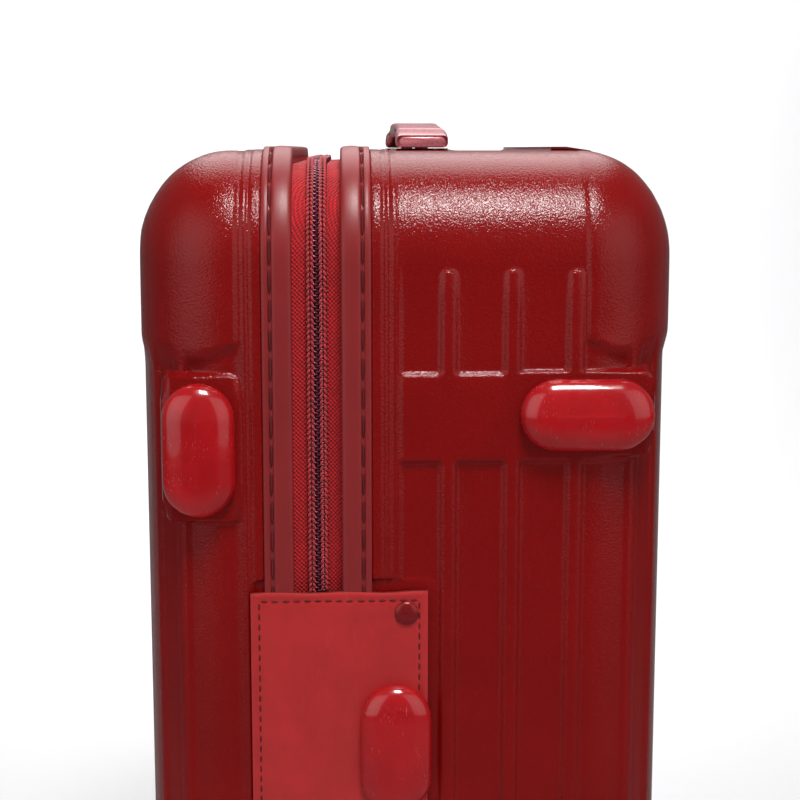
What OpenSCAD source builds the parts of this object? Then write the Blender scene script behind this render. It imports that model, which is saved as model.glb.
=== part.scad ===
// Hard shell cabin suitcase on four swivel casters, standing upright.
// +Z is up and the floor is z = 0. The shallow front shell faces -Y, the deep rear shell +Y.
// The hinge side is +X and the lock side is -X. All sizes are millimetres.

/* [Shells] */
// Width of the shells, hinge side to lock side
shell_w = 390; // [330:1:480]
// Height of the shells
shell_h = 504; // [430:1:680]
// Depth of the front shell, from the zip plane to its face
front_depth = 77; // [70:1:110]
// Depth of the rear shell, from the zip plane to its face
rear_depth = 153; // [140:1:200]
// Corner radius seen from the front
corner_r = 46; // [40:1:55]
// Depth of the rounding towards each face
face_r = 40; // [32:1:44]
// Wall of the shells
shell_wall = 2.5; // [2:0.1:3.5]
// Height of the shells' underside above the floor
ground_gap = 46; // [46:1:60]

/* [Rim and zip] */
// Distance from the zip plane to each shell's open edge
rim_gap = 16; // [14:0.5:20]
// Length of welt that laps over the shell
welt_lap = 6.5; // [5:0.5:8]
// Length of welt that stands free towards the zip
welt_nose = 6; // [4:0.5:7]
// How far the welt stands above the shell
welt_proud = 1.5; // [1:0.1:2]
// Thickness of the welt's tongue inside the shell
welt_tongue = 4; // [3:0.1:5]
// Thickness of the zip tape
tape_t = 1; // [0.6:0.1:1.5]
// Width of one half of the zip's coil
coil_w = 4.4; // [3.5:0.1:5]
// Height of the zip's coil above its tape
coil_t = 3; // [2:0.1:4]
// Gap from the zip plane to each half of the coil
coil_gap = 0.3; // [0.2:0.1:0.6]

/* [Lining] */
// Thickness of the lining
lining_t = 1; // [0.8:0.1:2]
// Space between a shell and its lining where nothing is hidden
lining_gap = 9; // [8.5:0.5:14]
// Space behind the lining at the casters
caster_room = 26; // [25:1:40]
// Space behind the rear lining at the carry handles
handle_room = 24; // [23:1:32]
// Space behind the rear lining's back, which holds the telescope
telescope_room = 41; // [40:1:50]
// Width of the packing straps
strap_w = 30; // [20:1:40]
// Height of the packing straps above and below the middle
strap_rise = 104; // [70:1:140]
// Space beside the front lining's pocket, up to where the lining turns
pocket_margin = 6; // [1:1:60]
// Height of the front lining's pocket
pocket_h = 330; // [200:1:350]

/* [Hinge flap and feet] */
// Height of the leather hinge flap
flap_h = 136; // [100:1:180]
// Reach of the flap over the rear shell from the zip plane
flap_rear = 46; // [42:1:52]
// Reach of the flap over the front shell from the zip plane
flap_front = 28.5; // [26:0.5:32]
// Thickness of the leather
flap_t = 2; // [1.5:0.1:3]
// Distance of the lid's turning axis from the side of the shells
hinge_out = 10; // [10:0.5:14]
// Length of a side foot
foot_len = 56; // [44:1:60]
// Width of a side foot
foot_w = 30; // [24:1:32]
// How far the feet stand out from the side of the shells
foot_h = 9.5; // [7:0.5:9.5]
// Distance of the upper and lower feet from the ends of the shells
foot_from_end = 123; // [100:1:140]

/* [Carry handles] */
// Length of a carry handle
grip_len = 200; // [150:1:220]
// Width of the top carry handle
grip_w = 24; // [20:1:28]
// Height of a handle's arch above the shell
grip_rise = 13; // [12:0.5:18]
// Height of a handle's ends above the shell
grip_end = 5.4; // [4:0.1:7]
// Finger gap under the middle of a handle at rest
finger_gap = 6; // [5.5:0.1:9]
// How far a handle lifts when it is pulled
grip_lift = 13; // [8:0.5:13]
// Distance of the top handle's middle from the zip plane
top_grip_at = 48; // [44:1:60]
// Distance of the side handle's middle from the zip plane
side_grip_at = 81; // [76:1:90]

/* [Lock] */
// Length of the lock
lock_len = 84; // [76:1:96]
// Distance of the lock's near edge from the end of the welt
lock_at = 2.5; // [1.5:0.5:7.5]
// Width of the lock
lock_w = 30; // [28:1:34]
// Radius of a number dial
dial_r = 5.2; // [4.5:0.1:5.4]
// Thickness of a number dial
dial_t = 4; // [3:0.1:5]
// Distance between neighbouring dials
dial_pitch = 8; // [7:0.5:9]

/* [Telescopic handle] */
// Distance between the two tubes
tube_pitch = 170; // [120:1:190]
// Width of the outer tubes
tube_w = 22; // [20:0.5:24]
// Depth of the outer tubes
tube_d = 15; // [14:0.5:15]
// Wall of each tube
tube_wall = 1; // [0.8:0.1:1.2]
// Distance of the tubes from the rear face
tube_from_face = 27; // [25:0.5:30]
// Travel of each of the two stages
stage_travel = 220; // [120:1:250]
// Depth of the recess that takes the grip
grip_pocket = 26; // [24:1:30]

/* [Casters] */
// Radius of a wheel
wheel_r = 19; // [16:0.5:19]
// Width of a wheel
wheel_w = 9; // [7:0.5:10]
// Radius of a wheel's axle
axle_r = 2.5; // [2:0.1:3]
// Distance from a caster's swivel axis to its axle
caster_trail = 10; // [8:0.5:14]
// Distance of a caster's swivel axis from the side of the shells
caster_from_side = 35; // [33:1:50]
// Distance of a caster's swivel axis from the face of its shell
caster_from_face = 31; // [31:1:36]
// Radius of a caster's swivel pin
pivot_r = 4; // [3:0.1:5]
// Radius of a caster's housing
housing_r = 22; // [21:0.5:24]

/* [Hidden] */
corners = ["front_left", "front_right", "rear_left", "rear_right"];
function corner_side(corner) = search([corner], corners)[0] < 2 ? -1 : 1;
function corner_hand(corner) = search([corner], corners)[0] % 2 == 0 ? -1 : 1;

// Smoothness of round parts, and the arc step of the shells' corners
$fn = 48;
arc_step = 15;
// Radius left at the tip of a rounded corner, and the overrun of a cut
tip_r = 1;
cut = 1;
// Clearances of a sliding fit and of a turning fit
slide_gap = 0.3;
turn_gap = 0.05;

// Places worked out from the driving sizes
shell_d = front_depth + rear_depth;
half_w = shell_w / 2;
face_y = shell_d / 2;
zip_y = front_depth - face_y;
shell_x = (grip_rise - foot_h) / 2;
shell_low = ground_gap;
shell_top = ground_gap + shell_h;
shell_mid = ground_gap + shell_h / 2;
welt_in = shell_wall + welt_tongue;
welt_end = rim_gap + welt_lap;
// The lining turns tighter than the shell in the corners and towards the face
lining_corner_r = corner_r - 16;
lining_face_r = face_r - 10;
pocket_w = 2 * (half_w - lining_gap - lining_corner_r - pocket_margin);
foot_z = shell_h / 2 - foot_from_end;
// Distance of the side feet from the plane of the nearest face, and overhang past the flap
foot_edge = 13;
foot_overhang = 1.5;
// Raised pad under a side foot: its rim around the foot, its depth and its corners
pad_rim = 3;
pad_depth = 26;
pad_r = 6;
// M4 screws: shank, head and how deep they go into a foot
screw_r = 2;
screw_head_r = 4;
screw_head_t = 2.5;
head_room = 7;
foot_screw_pitch = 24;
foot_screw_depth = 4;
// Handle guides
guide_r = 3;
guide_collar_r = 4.5;
guide_collar_t = 2;
guide_at = grip_len / 2 - 12;
sleeve_r = 6;
sleeve_plate_t = 2.5;
grip_clear = 0.6;
mount_screw_at = 9;
mount_rim = 3;
// Side handle is a little wider than its guides need
side_grip_w = 26;
// Lock: height of its flange and face, its depth, and the pieces around the dials
lock_flange_t = 1.6;
lock_face_t = 3.2;
lock_depth = 7.5;
lock_floor = 2;
lock_step = 5;
lock_rim = 3;
dial_proud = 0.8;
dial_x = lock_face_t + dial_proud - dial_r;
spindle_r = 1.2;
button_r = 4.5;
button_press = 1.5;
button_z = 26;
button_proud = 1.2;
key_r = 4;
// Zip sliders and pulls
slider_w = 12;
slider_len = 16;
slider_t = 2;
slider_apart = 12;
pull_pivot_x = 2.8;
pull_pin_r = 0.9;
pull_t = 2;
pull_len = 28.5;
pull_w = 10;
ear_gap = 5.2;
ear_t = 1.6;
// Telescope
tube_y = face_y - tube_from_face;
tube_step = 2 * tube_wall + 2 * slide_gap;
pocket_wall = 1.5;
pocket_len = tube_pitch + 38;
pocket_d = tube_d + 9;
bezel_lip = 8;
bezel_t = 1;
tele_grip_h = 21;
tele_floor = shell_top - grip_pocket;
tele_floor_t = 2;
tele_grip_low = shell_top - tele_grip_h;
outer_tube_low = shell_low + 22;
bracket_h = 18;
tele_button_w = 34;
tele_button_d = 7;
tele_button_h = 6;
tele_button_press = 3;
tele_button_proud = 0.6;
// Casters
fork_t = 7.6;
wheel_gap = 0.4;
hub_r = 13;
hub_low = 2 * wheel_r + 1.5;
housing_low = shell_low - 3;
housing_top = shell_low + 22;
housing_skin = 1.2;
// Clearance round a housing in the soft pieces at the rim
housing_gap = 0.3;
pivot_top = housing_top - 8;
boss_r = 6.5;
axle_head_r = 4;
axle_head_t = 1;
axle_half = fork_t / 2 + wheel_gap + wheel_w + slide_gap;
housing_screw_at = 18.5;
housing_screw_r = 1.5;
housing_screw_head_r = 2.5;
housing_screw_len = 14;

shell_red = [0.52, 0.06, 0.07];
welt_red = [0.60, 0.18, 0.19];
foot_red = [0.72, 0.07, 0.09];
leather_red = [0.75, 0.18, 0.19];
tape_red = [0.55, 0.08, 0.10];
metal_red = [0.35, 0.08, 0.10];
trim_black = [0.08, 0.08, 0.09];
steel = [0.72, 0.73, 0.75];
alu = [0.82, 0.83, 0.85];
lining_grey = [0.25, 0.24, 0.26];

// ---- Frames ----------------------------------------------------------------------------

// One half of the case, in which +Y runs from the zip to that half's face
module half(side) translate([shell_x, 0, 0]) mirror([0, side < 0 ? 1 : 0, 0]) children();

// The zip plane in a half's own frame
function zip_of(side) = side * zip_y;

// On the hinge side's surface, with +X outwards and z from the middle height
module on_hinge_side() translate([half_w, 0, shell_mid]) children();

// On the lock side's surface, with +X outwards and z from the middle height
module on_lock_side() translate([-half_w, 0, shell_mid]) mirror([1, 0, 0]) children();

// ---- Shared outlines and forms ---------------------------------------------------------

// Points of an upright rounded rectangle
function rounded_points(x0, x1, z0, z1, r) = [
    for (q = [[x1 - r, z1 - r, 0], [x0 + r, z1 - r, 90], [x0 + r, z0 + r, 180], [x1 - r, z0 + r, 270]])
        for (a = [0 : arc_step : 90])
            [q[0] + r * cos(q[2] + a), q[1] + r * sin(q[2] + a)]
];

// The shells' outline seen from the front, moved inwards
function outline(inset) = rounded_points(
    -half_w + inset, half_w - inset, shell_low + inset, shell_top - inset, corner_r - inset);

// Extrudes an outline drawn in X and Z from y0 to y1
module along_y(y0, y1) translate([0, y1, 0]) rotate([90, 0, 0]) linear_extrude(y1 - y0) children();

// Extrudes an outline drawn in Y and Z from x0 to x1
module along_x(x0, x1) translate([x0, 0, 0]) rotate([90, 0, 90]) linear_extrude(x1 - x0) children();

// A band that follows the outline all round
module rim_band(outer, inner, y0, y1) along_y(y0, y1) difference() {
    polygon(outline(outer));
    polygon(outline(inner));
}

// One ring of a rounded form: the corners' centres stay, and their radius shrinks
function ring_points(x0, x1, z0, z1, r, ring) = [
    for (q = [[x1 - r, z1 - r, 0], [x0 + r, z1 - r, 90], [x0 + r, z0 + r, 180], [x1 - r, z0 + r, 270]])
        for (a = [0 : arc_step : 90])
            [q[0] + ring[1] * cos(q[2] + a), ring[0], q[1] + ring[1] * sin(q[2] + a)]
];

// Solid form with a flat end at y0, rounded towards y1 over the given depth
module rounded_form(x0, x1, z0, z1, y0, y1, r, depth) {
    rings = concat([[y0, r]], [for (a = [0 : arc_step : 90]) [y1 - depth + depth * sin(a), max(r * cos(a), tip_r)]]);
    count = 4 * (90 / arc_step + 1);
    last = len(rings) - 1;
    polyhedron(
        points = [for (ring = rings) each ring_points(x0, x1, z0, z1, r, ring)],
        faces = concat(
            [[for (k = [count - 1 : -1 : 0]) k]],
            [for (i = [0 : last - 1], k = [0 : count - 1]) let (n = (k + 1) % count)
                [i * count + k, i * count + n, (i + 1) * count + n, (i + 1) * count + k]],
            [[for (k = [0 : count - 1]) last * count + k]]
        )
    );
}

// The shells' own form, moved inwards
module shell_form(rim, inset) {
    rounded_form(-half_w + inset, half_w - inset, shell_low + inset, shell_top - inset,
        rim, face_y - inset, corner_r - inset, face_r - inset);
}

// Box from one corner to the opposite one
module block(low, high) translate(low) cube(high - low);

// Outline with round ends, long along its first axis
module stadium(length, width) {
    polygon([for (s = [0, 180], a = [-90 : arc_step : 90])
        [cos(s) * (length - width) / 2 + width / 2 * cos(s + a), width / 2 * sin(s + a)]]);
}

// Places something at each of a foot's two screws, along Z
module at_foot_screws() for (s = [-1, 1]) translate([0, 0, s * foot_screw_pitch / 2]) children();

// A foot lying on the plane x = 0, long along Z, drilled for its screws
module foot(height) {
    difference() {
        union() {
            for (layer = [[0, 0.55, 0], [0.55, 0.85, 1.5], [0.85, 1, 4]])
                along_x(height * layer[0], height * layer[1])
                    rotate(90) stadium(foot_len - 2 * layer[2], foot_w - 2 * layer[2]);
        }
        at_foot_screws() translate([-cut, 0, 0]) rotate([0, 90, 0]) cylinder(r = screw_r + turn_gap, h = cut + foot_screw_depth);
    }
}

// Screw that comes through the wall from inside and runs towards +X
module wall_screw(reach) rotate([0, 90, 0]) {
    translate([0, 0, -shell_wall - screw_head_t]) cylinder(r = screw_head_r, h = screw_head_t);
    translate([0, 0, -shell_wall]) cylinder(r = screw_r, h = shell_wall + reach);
}

// Hole in the wall for such a screw, with room inside for its head
module wall_hole(reach) rotate([0, 90, 0]) {
    translate([0, 0, -shell_wall - cut]) cylinder(r = screw_r + turn_gap, h = shell_wall + cut + reach);
    translate([0, 0, -shell_wall - head_room]) cylinder(r = screw_head_r + turn_gap, h = head_room);
}

// ---- Places on the halves ---------------------------------------------------------------

// The rear feet lie across the case, nearer its ends than the front feet, which stand along it
rear_foot_y = face_y - foot_edge - foot_len / 2;
rear_foot_rise = 14;
front_foot_y = face_y - foot_edge - foot_w / 2;
hinge_foot_y = flap_rear - foot_w / 2 + foot_overhang;

module at_rear_feet() for (s = [-1, 1])
    translate([0, rear_foot_y, s * (foot_z + rear_foot_rise)]) rotate([90, 0, 0]) children();
module at_front_feet() for (s = [-1, 1]) translate([0, front_foot_y, s * foot_z]) children();
module at_hinge_foot() translate([0, zip_y + hinge_foot_y, 0]) children();

// The guides at the ends of the top handle and of the side handle
module at_top_guides() for (s = [-1, 1])
    translate([s * guide_at, zip_y + top_grip_at, shell_top]) children();
module at_side_guides() for (s = [-1, 1])
    on_lock_side() translate([0, zip_y + side_grip_at, s * guide_at]) rotate([0, 90, 0]) children();

// Swivel axes of a half's two casters, in that half's frame
module at_casters() for (s = [-1, 1])
    translate([s * (half_w - caster_from_side), face_y - caster_from_face, 0]) children();

// Notches that let a half's two wheel housings past its welt, zip tape and lining
module housing_notches() at_casters() translate([0, 0, housing_low - cut])
    cylinder(r = housing_r + housing_gap, h = housing_top - housing_low + housing_gap + cut);

module at_tubes() for (s = [-1, 1]) translate([s * tube_pitch / 2, tube_y, 0]) children();

// ---- Shells ------------------------------------------------------------------------------

// A flat pad carries each foot past the start of the rounding
module foot_pad() along_x(-pad_depth, 0) polygon(rounded_points(-foot_w / 2 - pad_rim, foot_w / 2 + pad_rim,
    -foot_len / 2 - pad_rim, foot_len / 2 + pad_rim, pad_r));

module shell_wall_form(side) difference() {
    union() {
        shell_form(zip_of(side) + rim_gap, 0);
        on_hinge_side() {
            if (side > 0) at_rear_feet() foot_pad();
            if (side < 0) at_front_feet() foot_pad();
        }
    }
    shell_form(zip_of(side) + rim_gap - cut, shell_wall);
    at_casters() translate([0, 0, housing_low - cut]) cylinder(r = housing_r, h = housing_top - housing_low + cut);
}

module rear_shell() color(shell_red) half(1) difference() {
    shell_wall_form(1);
    on_hinge_side() {
        at_rear_feet() at_foot_screws() wall_hole(cut);
        at_hinge_foot() at_foot_screws() wall_hole(cut);
        at_rivets() wall_hole(cut);
    }
    at_top_guides() guide_hole();
    at_side_guides() guide_hole();
    on_lock_side() lock_well();
    telescope_well();
}

module front_shell() color(shell_red) half(-1) difference() {
    shell_wall_form(-1);
    on_hinge_side() at_front_feet() at_foot_screws() wall_hole(cut);
}

// Channel of soft plastic that grips the shell's edge and overhangs the zip tape
module welt(side) {
    zip = zip_of(side);
    difference() {
        union() {
            rim_band(-welt_proud, welt_in, zip + rim_gap - welt_nose, zip + rim_gap);
            rim_band(-welt_proud, 0, zip + rim_gap, zip + welt_end);
            rim_band(shell_wall, welt_in, zip + rim_gap, zip + welt_end);
        }
        on_hinge_side() block([0, zip, -flap_h / 2], [welt_proud + cut, zip + welt_end + cut, flap_h / 2]);
        housing_notches();
    }
}

module rear_welt() color(welt_red) half(1) welt(1);
module front_welt() color(welt_red) half(-1) welt(-1);

module zip_tape(side) difference() {
    rim_band(welt_in, welt_in + tape_t, zip_of(side) + cut, zip_of(side) + welt_end);
    housing_notches();
}

module rear_zip_tape() color(tape_red) half(1) zip_tape(1);
module front_zip_tape() color(tape_red) half(-1) zip_tape(-1);

// The coil stops where the hinge flap covers the gap
module zip_coil(side) {
    zip = zip_of(side);
    difference() {
        rim_band(welt_in - coil_t, welt_in, zip + coil_gap, zip + coil_gap + coil_w);
        on_hinge_side() block([-welt_in - cut, zip, -flap_h / 2], [cut, zip + rim_gap, flap_h / 2]);
    }
}

module rear_zip_coil() color(metal_red) half(1) zip_coil(1);
module front_zip_coil() color(metal_red) half(-1) zip_coil(-1);

// ---- Lining ------------------------------------------------------------------------------

// Room left behind the lining: lock side, bottom, top and face
function rooms(side) = side > 0
    ? [handle_room, caster_room, handle_room, telescope_room]
    : [lining_gap, caster_room, lining_gap, lining_gap];

module lining_form(side, rim, extra) {
    room = rooms(side);
    rounded_form(-half_w + room[0] + extra, half_w - lining_gap - extra,
        shell_low + room[1] + extra, shell_top - room[2] - extra,
        rim, face_y - room[3] - extra, lining_corner_r - extra, lining_face_r - extra);
}

module lining(side) {
    rim = zip_of(side) + welt_end;
    difference() {
        union() {
            lining_form(side, rim, 0);
            along_y(rim, rim + lining_t) polygon(outline(shell_wall + slide_gap));
        }
        lining_form(side, rim - cut, lining_t);
        housing_notches();
    }
}

module rear_lining() color(lining_grey) half(1) lining(1);
module front_lining() color(lining_grey) half(-1) lining(-1);

// Two straps cross the rear shell just inside its rim and meet in a buckle
strap_t = 1.2;
strap_in = 12;
buckle_len = 60;
buckle_w = 38;
buckle_t = 9;
strap_x0 = -half_w + handle_room + lining_t;
strap_x1 = half_w - lining_gap - lining_t;
strap_x = (strap_x0 + strap_x1) / 2;
strap_y = zip_y + welt_end + strap_in;

module packing_straps() color(trim_black) half(1) for (s = [-1, 1], ends = [[strap_x0, strap_x - buckle_len / 2],
        [strap_x + buckle_len / 2, strap_x1]])
    block([ends[0], strap_y - strap_t / 2, shell_mid + s * strap_rise - strap_w / 2],
        [ends[1], strap_y + strap_t / 2, shell_mid + s * strap_rise + strap_w / 2]);

module strap_buckles() color(trim_black) half(1) for (s = [-1, 1])
    along_y(strap_y - buckle_t / 2, strap_y + buckle_t / 2)
        polygon(rounded_points(strap_x - buckle_len / 2, strap_x + buckle_len / 2,
            shell_mid + s * strap_rise - buckle_w / 2, shell_mid + s * strap_rise + buckle_w / 2, 6));

// Flat pocket sewn on the inside of the front lining
pocket_t = 4;
module front_pocket() color(trim_black) half(-1)
    along_y(face_y - lining_gap - lining_t - pocket_t, face_y - lining_gap - lining_t)
        polygon(rounded_points(-pocket_w / 2, pocket_w / 2, shell_mid + 8 - pocket_h / 2, shell_mid + 8 + pocket_h / 2, 20));

// ---- Hinge flap and side feet --------------------------------------------------------------

leaf_gap = 0.5;
rivet_r = 5;
rivet_head_t = 1.6;
rivet_from_edge = 9;

module at_rivets() for (s = [-1, 1])
    translate([0, zip_y + flap_rear - rivet_from_edge, s * (flap_h / 2 - rivet_from_edge)]) children();

module hinge_leaf(side, reach) {
    zip = zip_of(side);
    block([0, zip + leaf_gap, -flap_h / 2], [flap_t, zip + reach, flap_h / 2]);
}

module hinge_flap_rear() color(leather_red) half(1) on_hinge_side() difference() {
    hinge_leaf(1, flap_rear);
    at_hinge_foot() at_foot_screws() wall_hole(flap_t + cut);
    at_rivets() wall_hole(flap_t + cut);
}

module hinge_flap_front() color(leather_red) half(-1) on_hinge_side() hinge_leaf(-1, flap_front);

module hinge_rivets() color(leather_red) half(1) on_hinge_side() at_rivets() {
    wall_screw(flap_t);
    translate([flap_t, 0, 0]) rotate([0, 90, 0]) cylinder(r = rivet_r, h = rivet_head_t);
}

module hinge_foot() color(foot_red) half(1) on_hinge_side() at_hinge_foot()
    translate([flap_t, 0, 0]) foot(foot_h - flap_t);

module rear_side_feet() color(foot_red) half(1) on_hinge_side() at_rear_feet() foot(foot_h);
module front_side_feet() color(foot_red) half(-1) on_hinge_side() at_front_feet() foot(foot_h);

module rear_screws() color(steel) half(1) {
    on_hinge_side() {
        at_rear_feet() at_foot_screws() wall_screw(foot_screw_depth);
        at_hinge_foot() at_foot_screws() wall_screw(flap_t + foot_screw_depth);
    }
    at_top_guides() mount_screws();
    at_side_guides() mount_screws();
    at_casters() housing_screws();
}

module front_screws() color(steel) half(-1) {
    on_hinge_side() at_front_feet() at_foot_screws() wall_screw(foot_screw_depth);
    at_casters() housing_screws();
}

// ---- Carry handles -------------------------------------------------------------------------

// The guides' frame has +Z outwards, its origin on the shell and the handle's length along X.

module guide_hole() {
    translate([0, 0, -shell_wall - cut]) cylinder(r = sleeve_r, h = shell_wall + 2 * cut);
    for (s = [-1, 1]) translate([0, s * mount_screw_at, -shell_wall - cut])
        cylinder(r = screw_r + turn_gap, h = shell_wall + 2 * cut);
}

// Sleeve through the wall, with a plate inside and a thin escutcheon outside
module guide_sleeve() difference() {
    union() {
        translate([0, 0, -shell_wall]) cylinder(r = sleeve_r, h = shell_wall);
        for (z = [-shell_wall - sleeve_plate_t, 0])
            block([-sleeve_r - mount_rim, -mount_screw_at - mount_rim, z],
                [sleeve_r + mount_rim, mount_screw_at + mount_rim, z < 0 ? -shell_wall : grip_clear / 2]);
    }
    translate([0, 0, -shell_wall - sleeve_plate_t - cut])
        cylinder(r = guide_r + turn_gap, h = shell_wall + sleeve_plate_t + 2 * cut);
    for (s = [-1, 1]) translate([0, s * mount_screw_at, -shell_wall - sleeve_plate_t - cut])
        cylinder(r = screw_r + turn_gap, h = shell_wall + sleeve_plate_t + cut);
}

module mount_screws() for (s = [-1, 1]) translate([0, s * mount_screw_at, 0]) {
    translate([0, 0, -shell_wall - sleeve_plate_t - screw_head_t]) cylinder(r = screw_head_r, h = screw_head_t);
    translate([0, 0, -shell_wall - sleeve_plate_t]) cylinder(r = screw_r, h = shell_wall + sleeve_plate_t);
}

// Bowed grip with a guide pin and a stop collar at each end
module carry_grip(width) {
    arch_top = [for (a = [-90 : arc_step : 90])
        [a / 90 * grip_len / 2, grip_end + (grip_rise - grip_end) * pow(cos(a), 0.6)]];
    arch_under = [for (a = [90 : -arc_step : -90])
        [a / 90 * (guide_at - sleeve_r), grip_clear + (finger_gap - grip_clear) * min(1, 2 * cos(a))]];
    translate([0, width / 2, 0]) rotate([90, 0, 0]) linear_extrude(width)
        polygon(concat(arch_top, [[grip_len / 2, grip_clear]], arch_under, [[-grip_len / 2, grip_clear]]));
    for (s = [-1, 1]) translate([s * guide_at, 0, 0]) {
        collar_low = -shell_wall - sleeve_plate_t - grip_lift - slide_gap - guide_collar_t;
        translate([0, 0, collar_low]) cylinder(r = guide_r, h = grip_clear + cut - collar_low);
        translate([0, 0, collar_low]) cylinder(r = guide_collar_r, h = guide_collar_t);
    }
}

module top_handle_mounts() color(trim_black) half(1) at_top_guides() guide_sleeve();
module side_handle_mounts() color(trim_black) half(1) at_side_guides() guide_sleeve();

module top_handle() color(metal_red) half(1)
    translate([0, zip_y + top_grip_at, shell_top]) carry_grip(grip_w);

module side_handle() color(metal_red) half(1)
    on_lock_side() translate([0, zip_y + side_grip_at, 0]) rotate([0, 90, 0]) carry_grip(side_grip_w);

// ---- Lock and zip sliders --------------------------------------------------------------------

lock_y0 = zip_y + welt_end + lock_at;
lock_y1 = lock_y0 + lock_w;
dial_y = (lock_y0 + lock_step + lock_y1) / 2;

// The lock's body, inside its flange
module lock_body(gap) along_x(-lock_depth - gap, 0)
    polygon(rounded_points(lock_y0 + lock_rim - gap, lock_y1 - lock_rim + gap,
        -lock_len / 2 + lock_rim - gap, lock_len / 2 - lock_rim + gap, 5));

module lock_well() translate([cut, 0, 0]) lock_body(slide_gap);

module at_dials() for (k = [-1, 0, 1]) translate([dial_x, dial_y, k * dial_pitch]) children();

module lock_housing() color(metal_red) half(1) on_lock_side() {
    difference() {
        union() {
            lock_body(0);
            along_x(0, lock_flange_t) polygon(rounded_points(lock_y0, lock_y1, -lock_len / 2, lock_len / 2, 7));
            along_x(lock_flange_t, lock_face_t)
                polygon(rounded_points(lock_y0 + lock_step, lock_y1, -lock_len / 2, lock_len / 2, 7));
        }
        at_dials() translate([-dial_r - slide_gap, -dial_r - slide_gap, -dial_t / 2 - slide_gap])
            cube([3 * dial_r, 2 * dial_r + 2 * slide_gap, dial_t + 2 * slide_gap]);
        translate([-lock_depth + lock_floor, dial_y, button_z]) rotate([0, 90, 0])
            cylinder(r = button_r + turn_gap, h = lock_depth + lock_face_t);
        translate([-lock_depth + lock_floor, dial_y, -button_z]) rotate([0, 90, 0])
            cylinder(r = key_r + turn_gap, h = lock_depth + lock_face_t);
    }
    translate([dial_x, dial_y, -1.5 * dial_pitch]) cylinder(r = spindle_r, h = 3 * dial_pitch);
}

// Each dial has ten finger notches
module lock_dial(place) color(steel) half(1) on_lock_side() translate([dial_x, dial_y, place * dial_pitch])
    difference() {
        translate([0, 0, -dial_t / 2]) cylinder(r = dial_r, h = dial_t);
        translate([0, 0, -dial_t]) cylinder(r = spindle_r + turn_gap, h = 2 * dial_t);
        for (k = [0 : 9]) rotate(k * 36 + 18) translate([dial_r + 0.3, 0, -dial_t])
            cylinder(r = 0.7, h = 2 * dial_t, $fn = 16);
    }

module lock_dial_upper() lock_dial(1);
module lock_dial_middle() lock_dial(0);
module lock_dial_lower() lock_dial(-1);

module lock_button() color(steel) half(1) on_lock_side()
    translate([-lock_depth + lock_floor + button_press + slide_gap, dial_y, button_z]) rotate([0, 90, 0])
        cylinder(r = button_r, h = lock_depth + lock_face_t + button_proud - lock_floor - button_press - slide_gap);

module lock_key_core() color(steel) half(1) on_lock_side() difference() {
    translate([-lock_depth + lock_floor + slide_gap, dial_y, -button_z]) rotate([0, 90, 0])
        cylinder(r = key_r, h = lock_depth + lock_face_t - lock_floor);
    block([lock_face_t - 4, dial_y - 0.5, -button_z - 2.6], [lock_face_t + cut, dial_y + 0.5, -button_z + 2.6]);
}

// Slider seen from outside: a plate over the coil, a lip beside the rear coil and two ears
module zip_slider() {
    coil_face = -welt_in + coil_t;
    lip_y = coil_gap + coil_w + slide_gap;
    block([coil_face + slide_gap, -slider_w / 2, -slider_len / 2],
        [coil_face + slide_gap + slider_t, slider_w / 2, slider_len / 2]);
    block([-welt_in + slide_gap, lip_y, -slider_len / 2],
        [coil_face + slide_gap + cut, slider_w / 2, slider_len / 2]);
    for (s = [-1, 1]) block([coil_face + slide_gap + cut, -2, s > 0 ? ear_gap / 2 : -ear_gap / 2 - ear_t],
        [pull_pivot_x + 1.6, 2, s > 0 ? ear_gap / 2 + ear_t : -ear_gap / 2]);
    translate([pull_pivot_x, 0, -ear_gap / 2 - cut]) cylinder(r = pull_pin_r, h = ear_gap + 2 * cut);
}

// Pull that lies across the welt, with its knuckle on the slider's pin
module zip_pull() difference() {
    union() {
        translate([pull_pivot_x, 0, -ear_gap / 2 + slide_gap]) cylinder(r = pull_pin_r + 1, h = ear_gap - 2 * slide_gap);
        block([pull_pivot_x - pull_t / 2, 0, -ear_gap / 2 + slide_gap], [pull_pivot_x + pull_t / 2, 7, ear_gap / 2 - slide_gap]);
        along_x(pull_pivot_x - pull_t / 2, pull_pivot_x + pull_t / 2)
            polygon(rounded_points(6, pull_len, -pull_w / 2, pull_w / 2, 3));
    }
    translate([pull_pivot_x, 0, -pull_w]) cylinder(r = pull_pin_r + turn_gap, h = 2 * pull_w);
    translate([pull_pivot_x - pull_t, pull_len - 5, 0]) rotate([0, 90, 0]) cylinder(r = 2, h = 2 * pull_t);
}

module at_slider(s) half(1) on_lock_side() translate([0, zip_y, s * slider_apart]) children();

module zip_slider_upper() color(metal_red) at_slider(1) zip_slider();
module zip_slider_lower() color(metal_red) at_slider(-1) zip_slider();
module zip_pull_upper() color(metal_red) at_slider(1) zip_pull();
module zip_pull_lower() color(metal_red) at_slider(-1) zip_pull();

// ---- Telescopic handle -----------------------------------------------------------------------

module pocket_block(wall, low, high) block(
    [-pocket_len / 2 + wall, tube_y - pocket_d / 2 + wall, low],
    [pocket_len / 2 - wall, tube_y + pocket_d / 2 - wall, high]);

module telescope_well() pocket_block(0, tele_floor, shell_top + cut);

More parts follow.
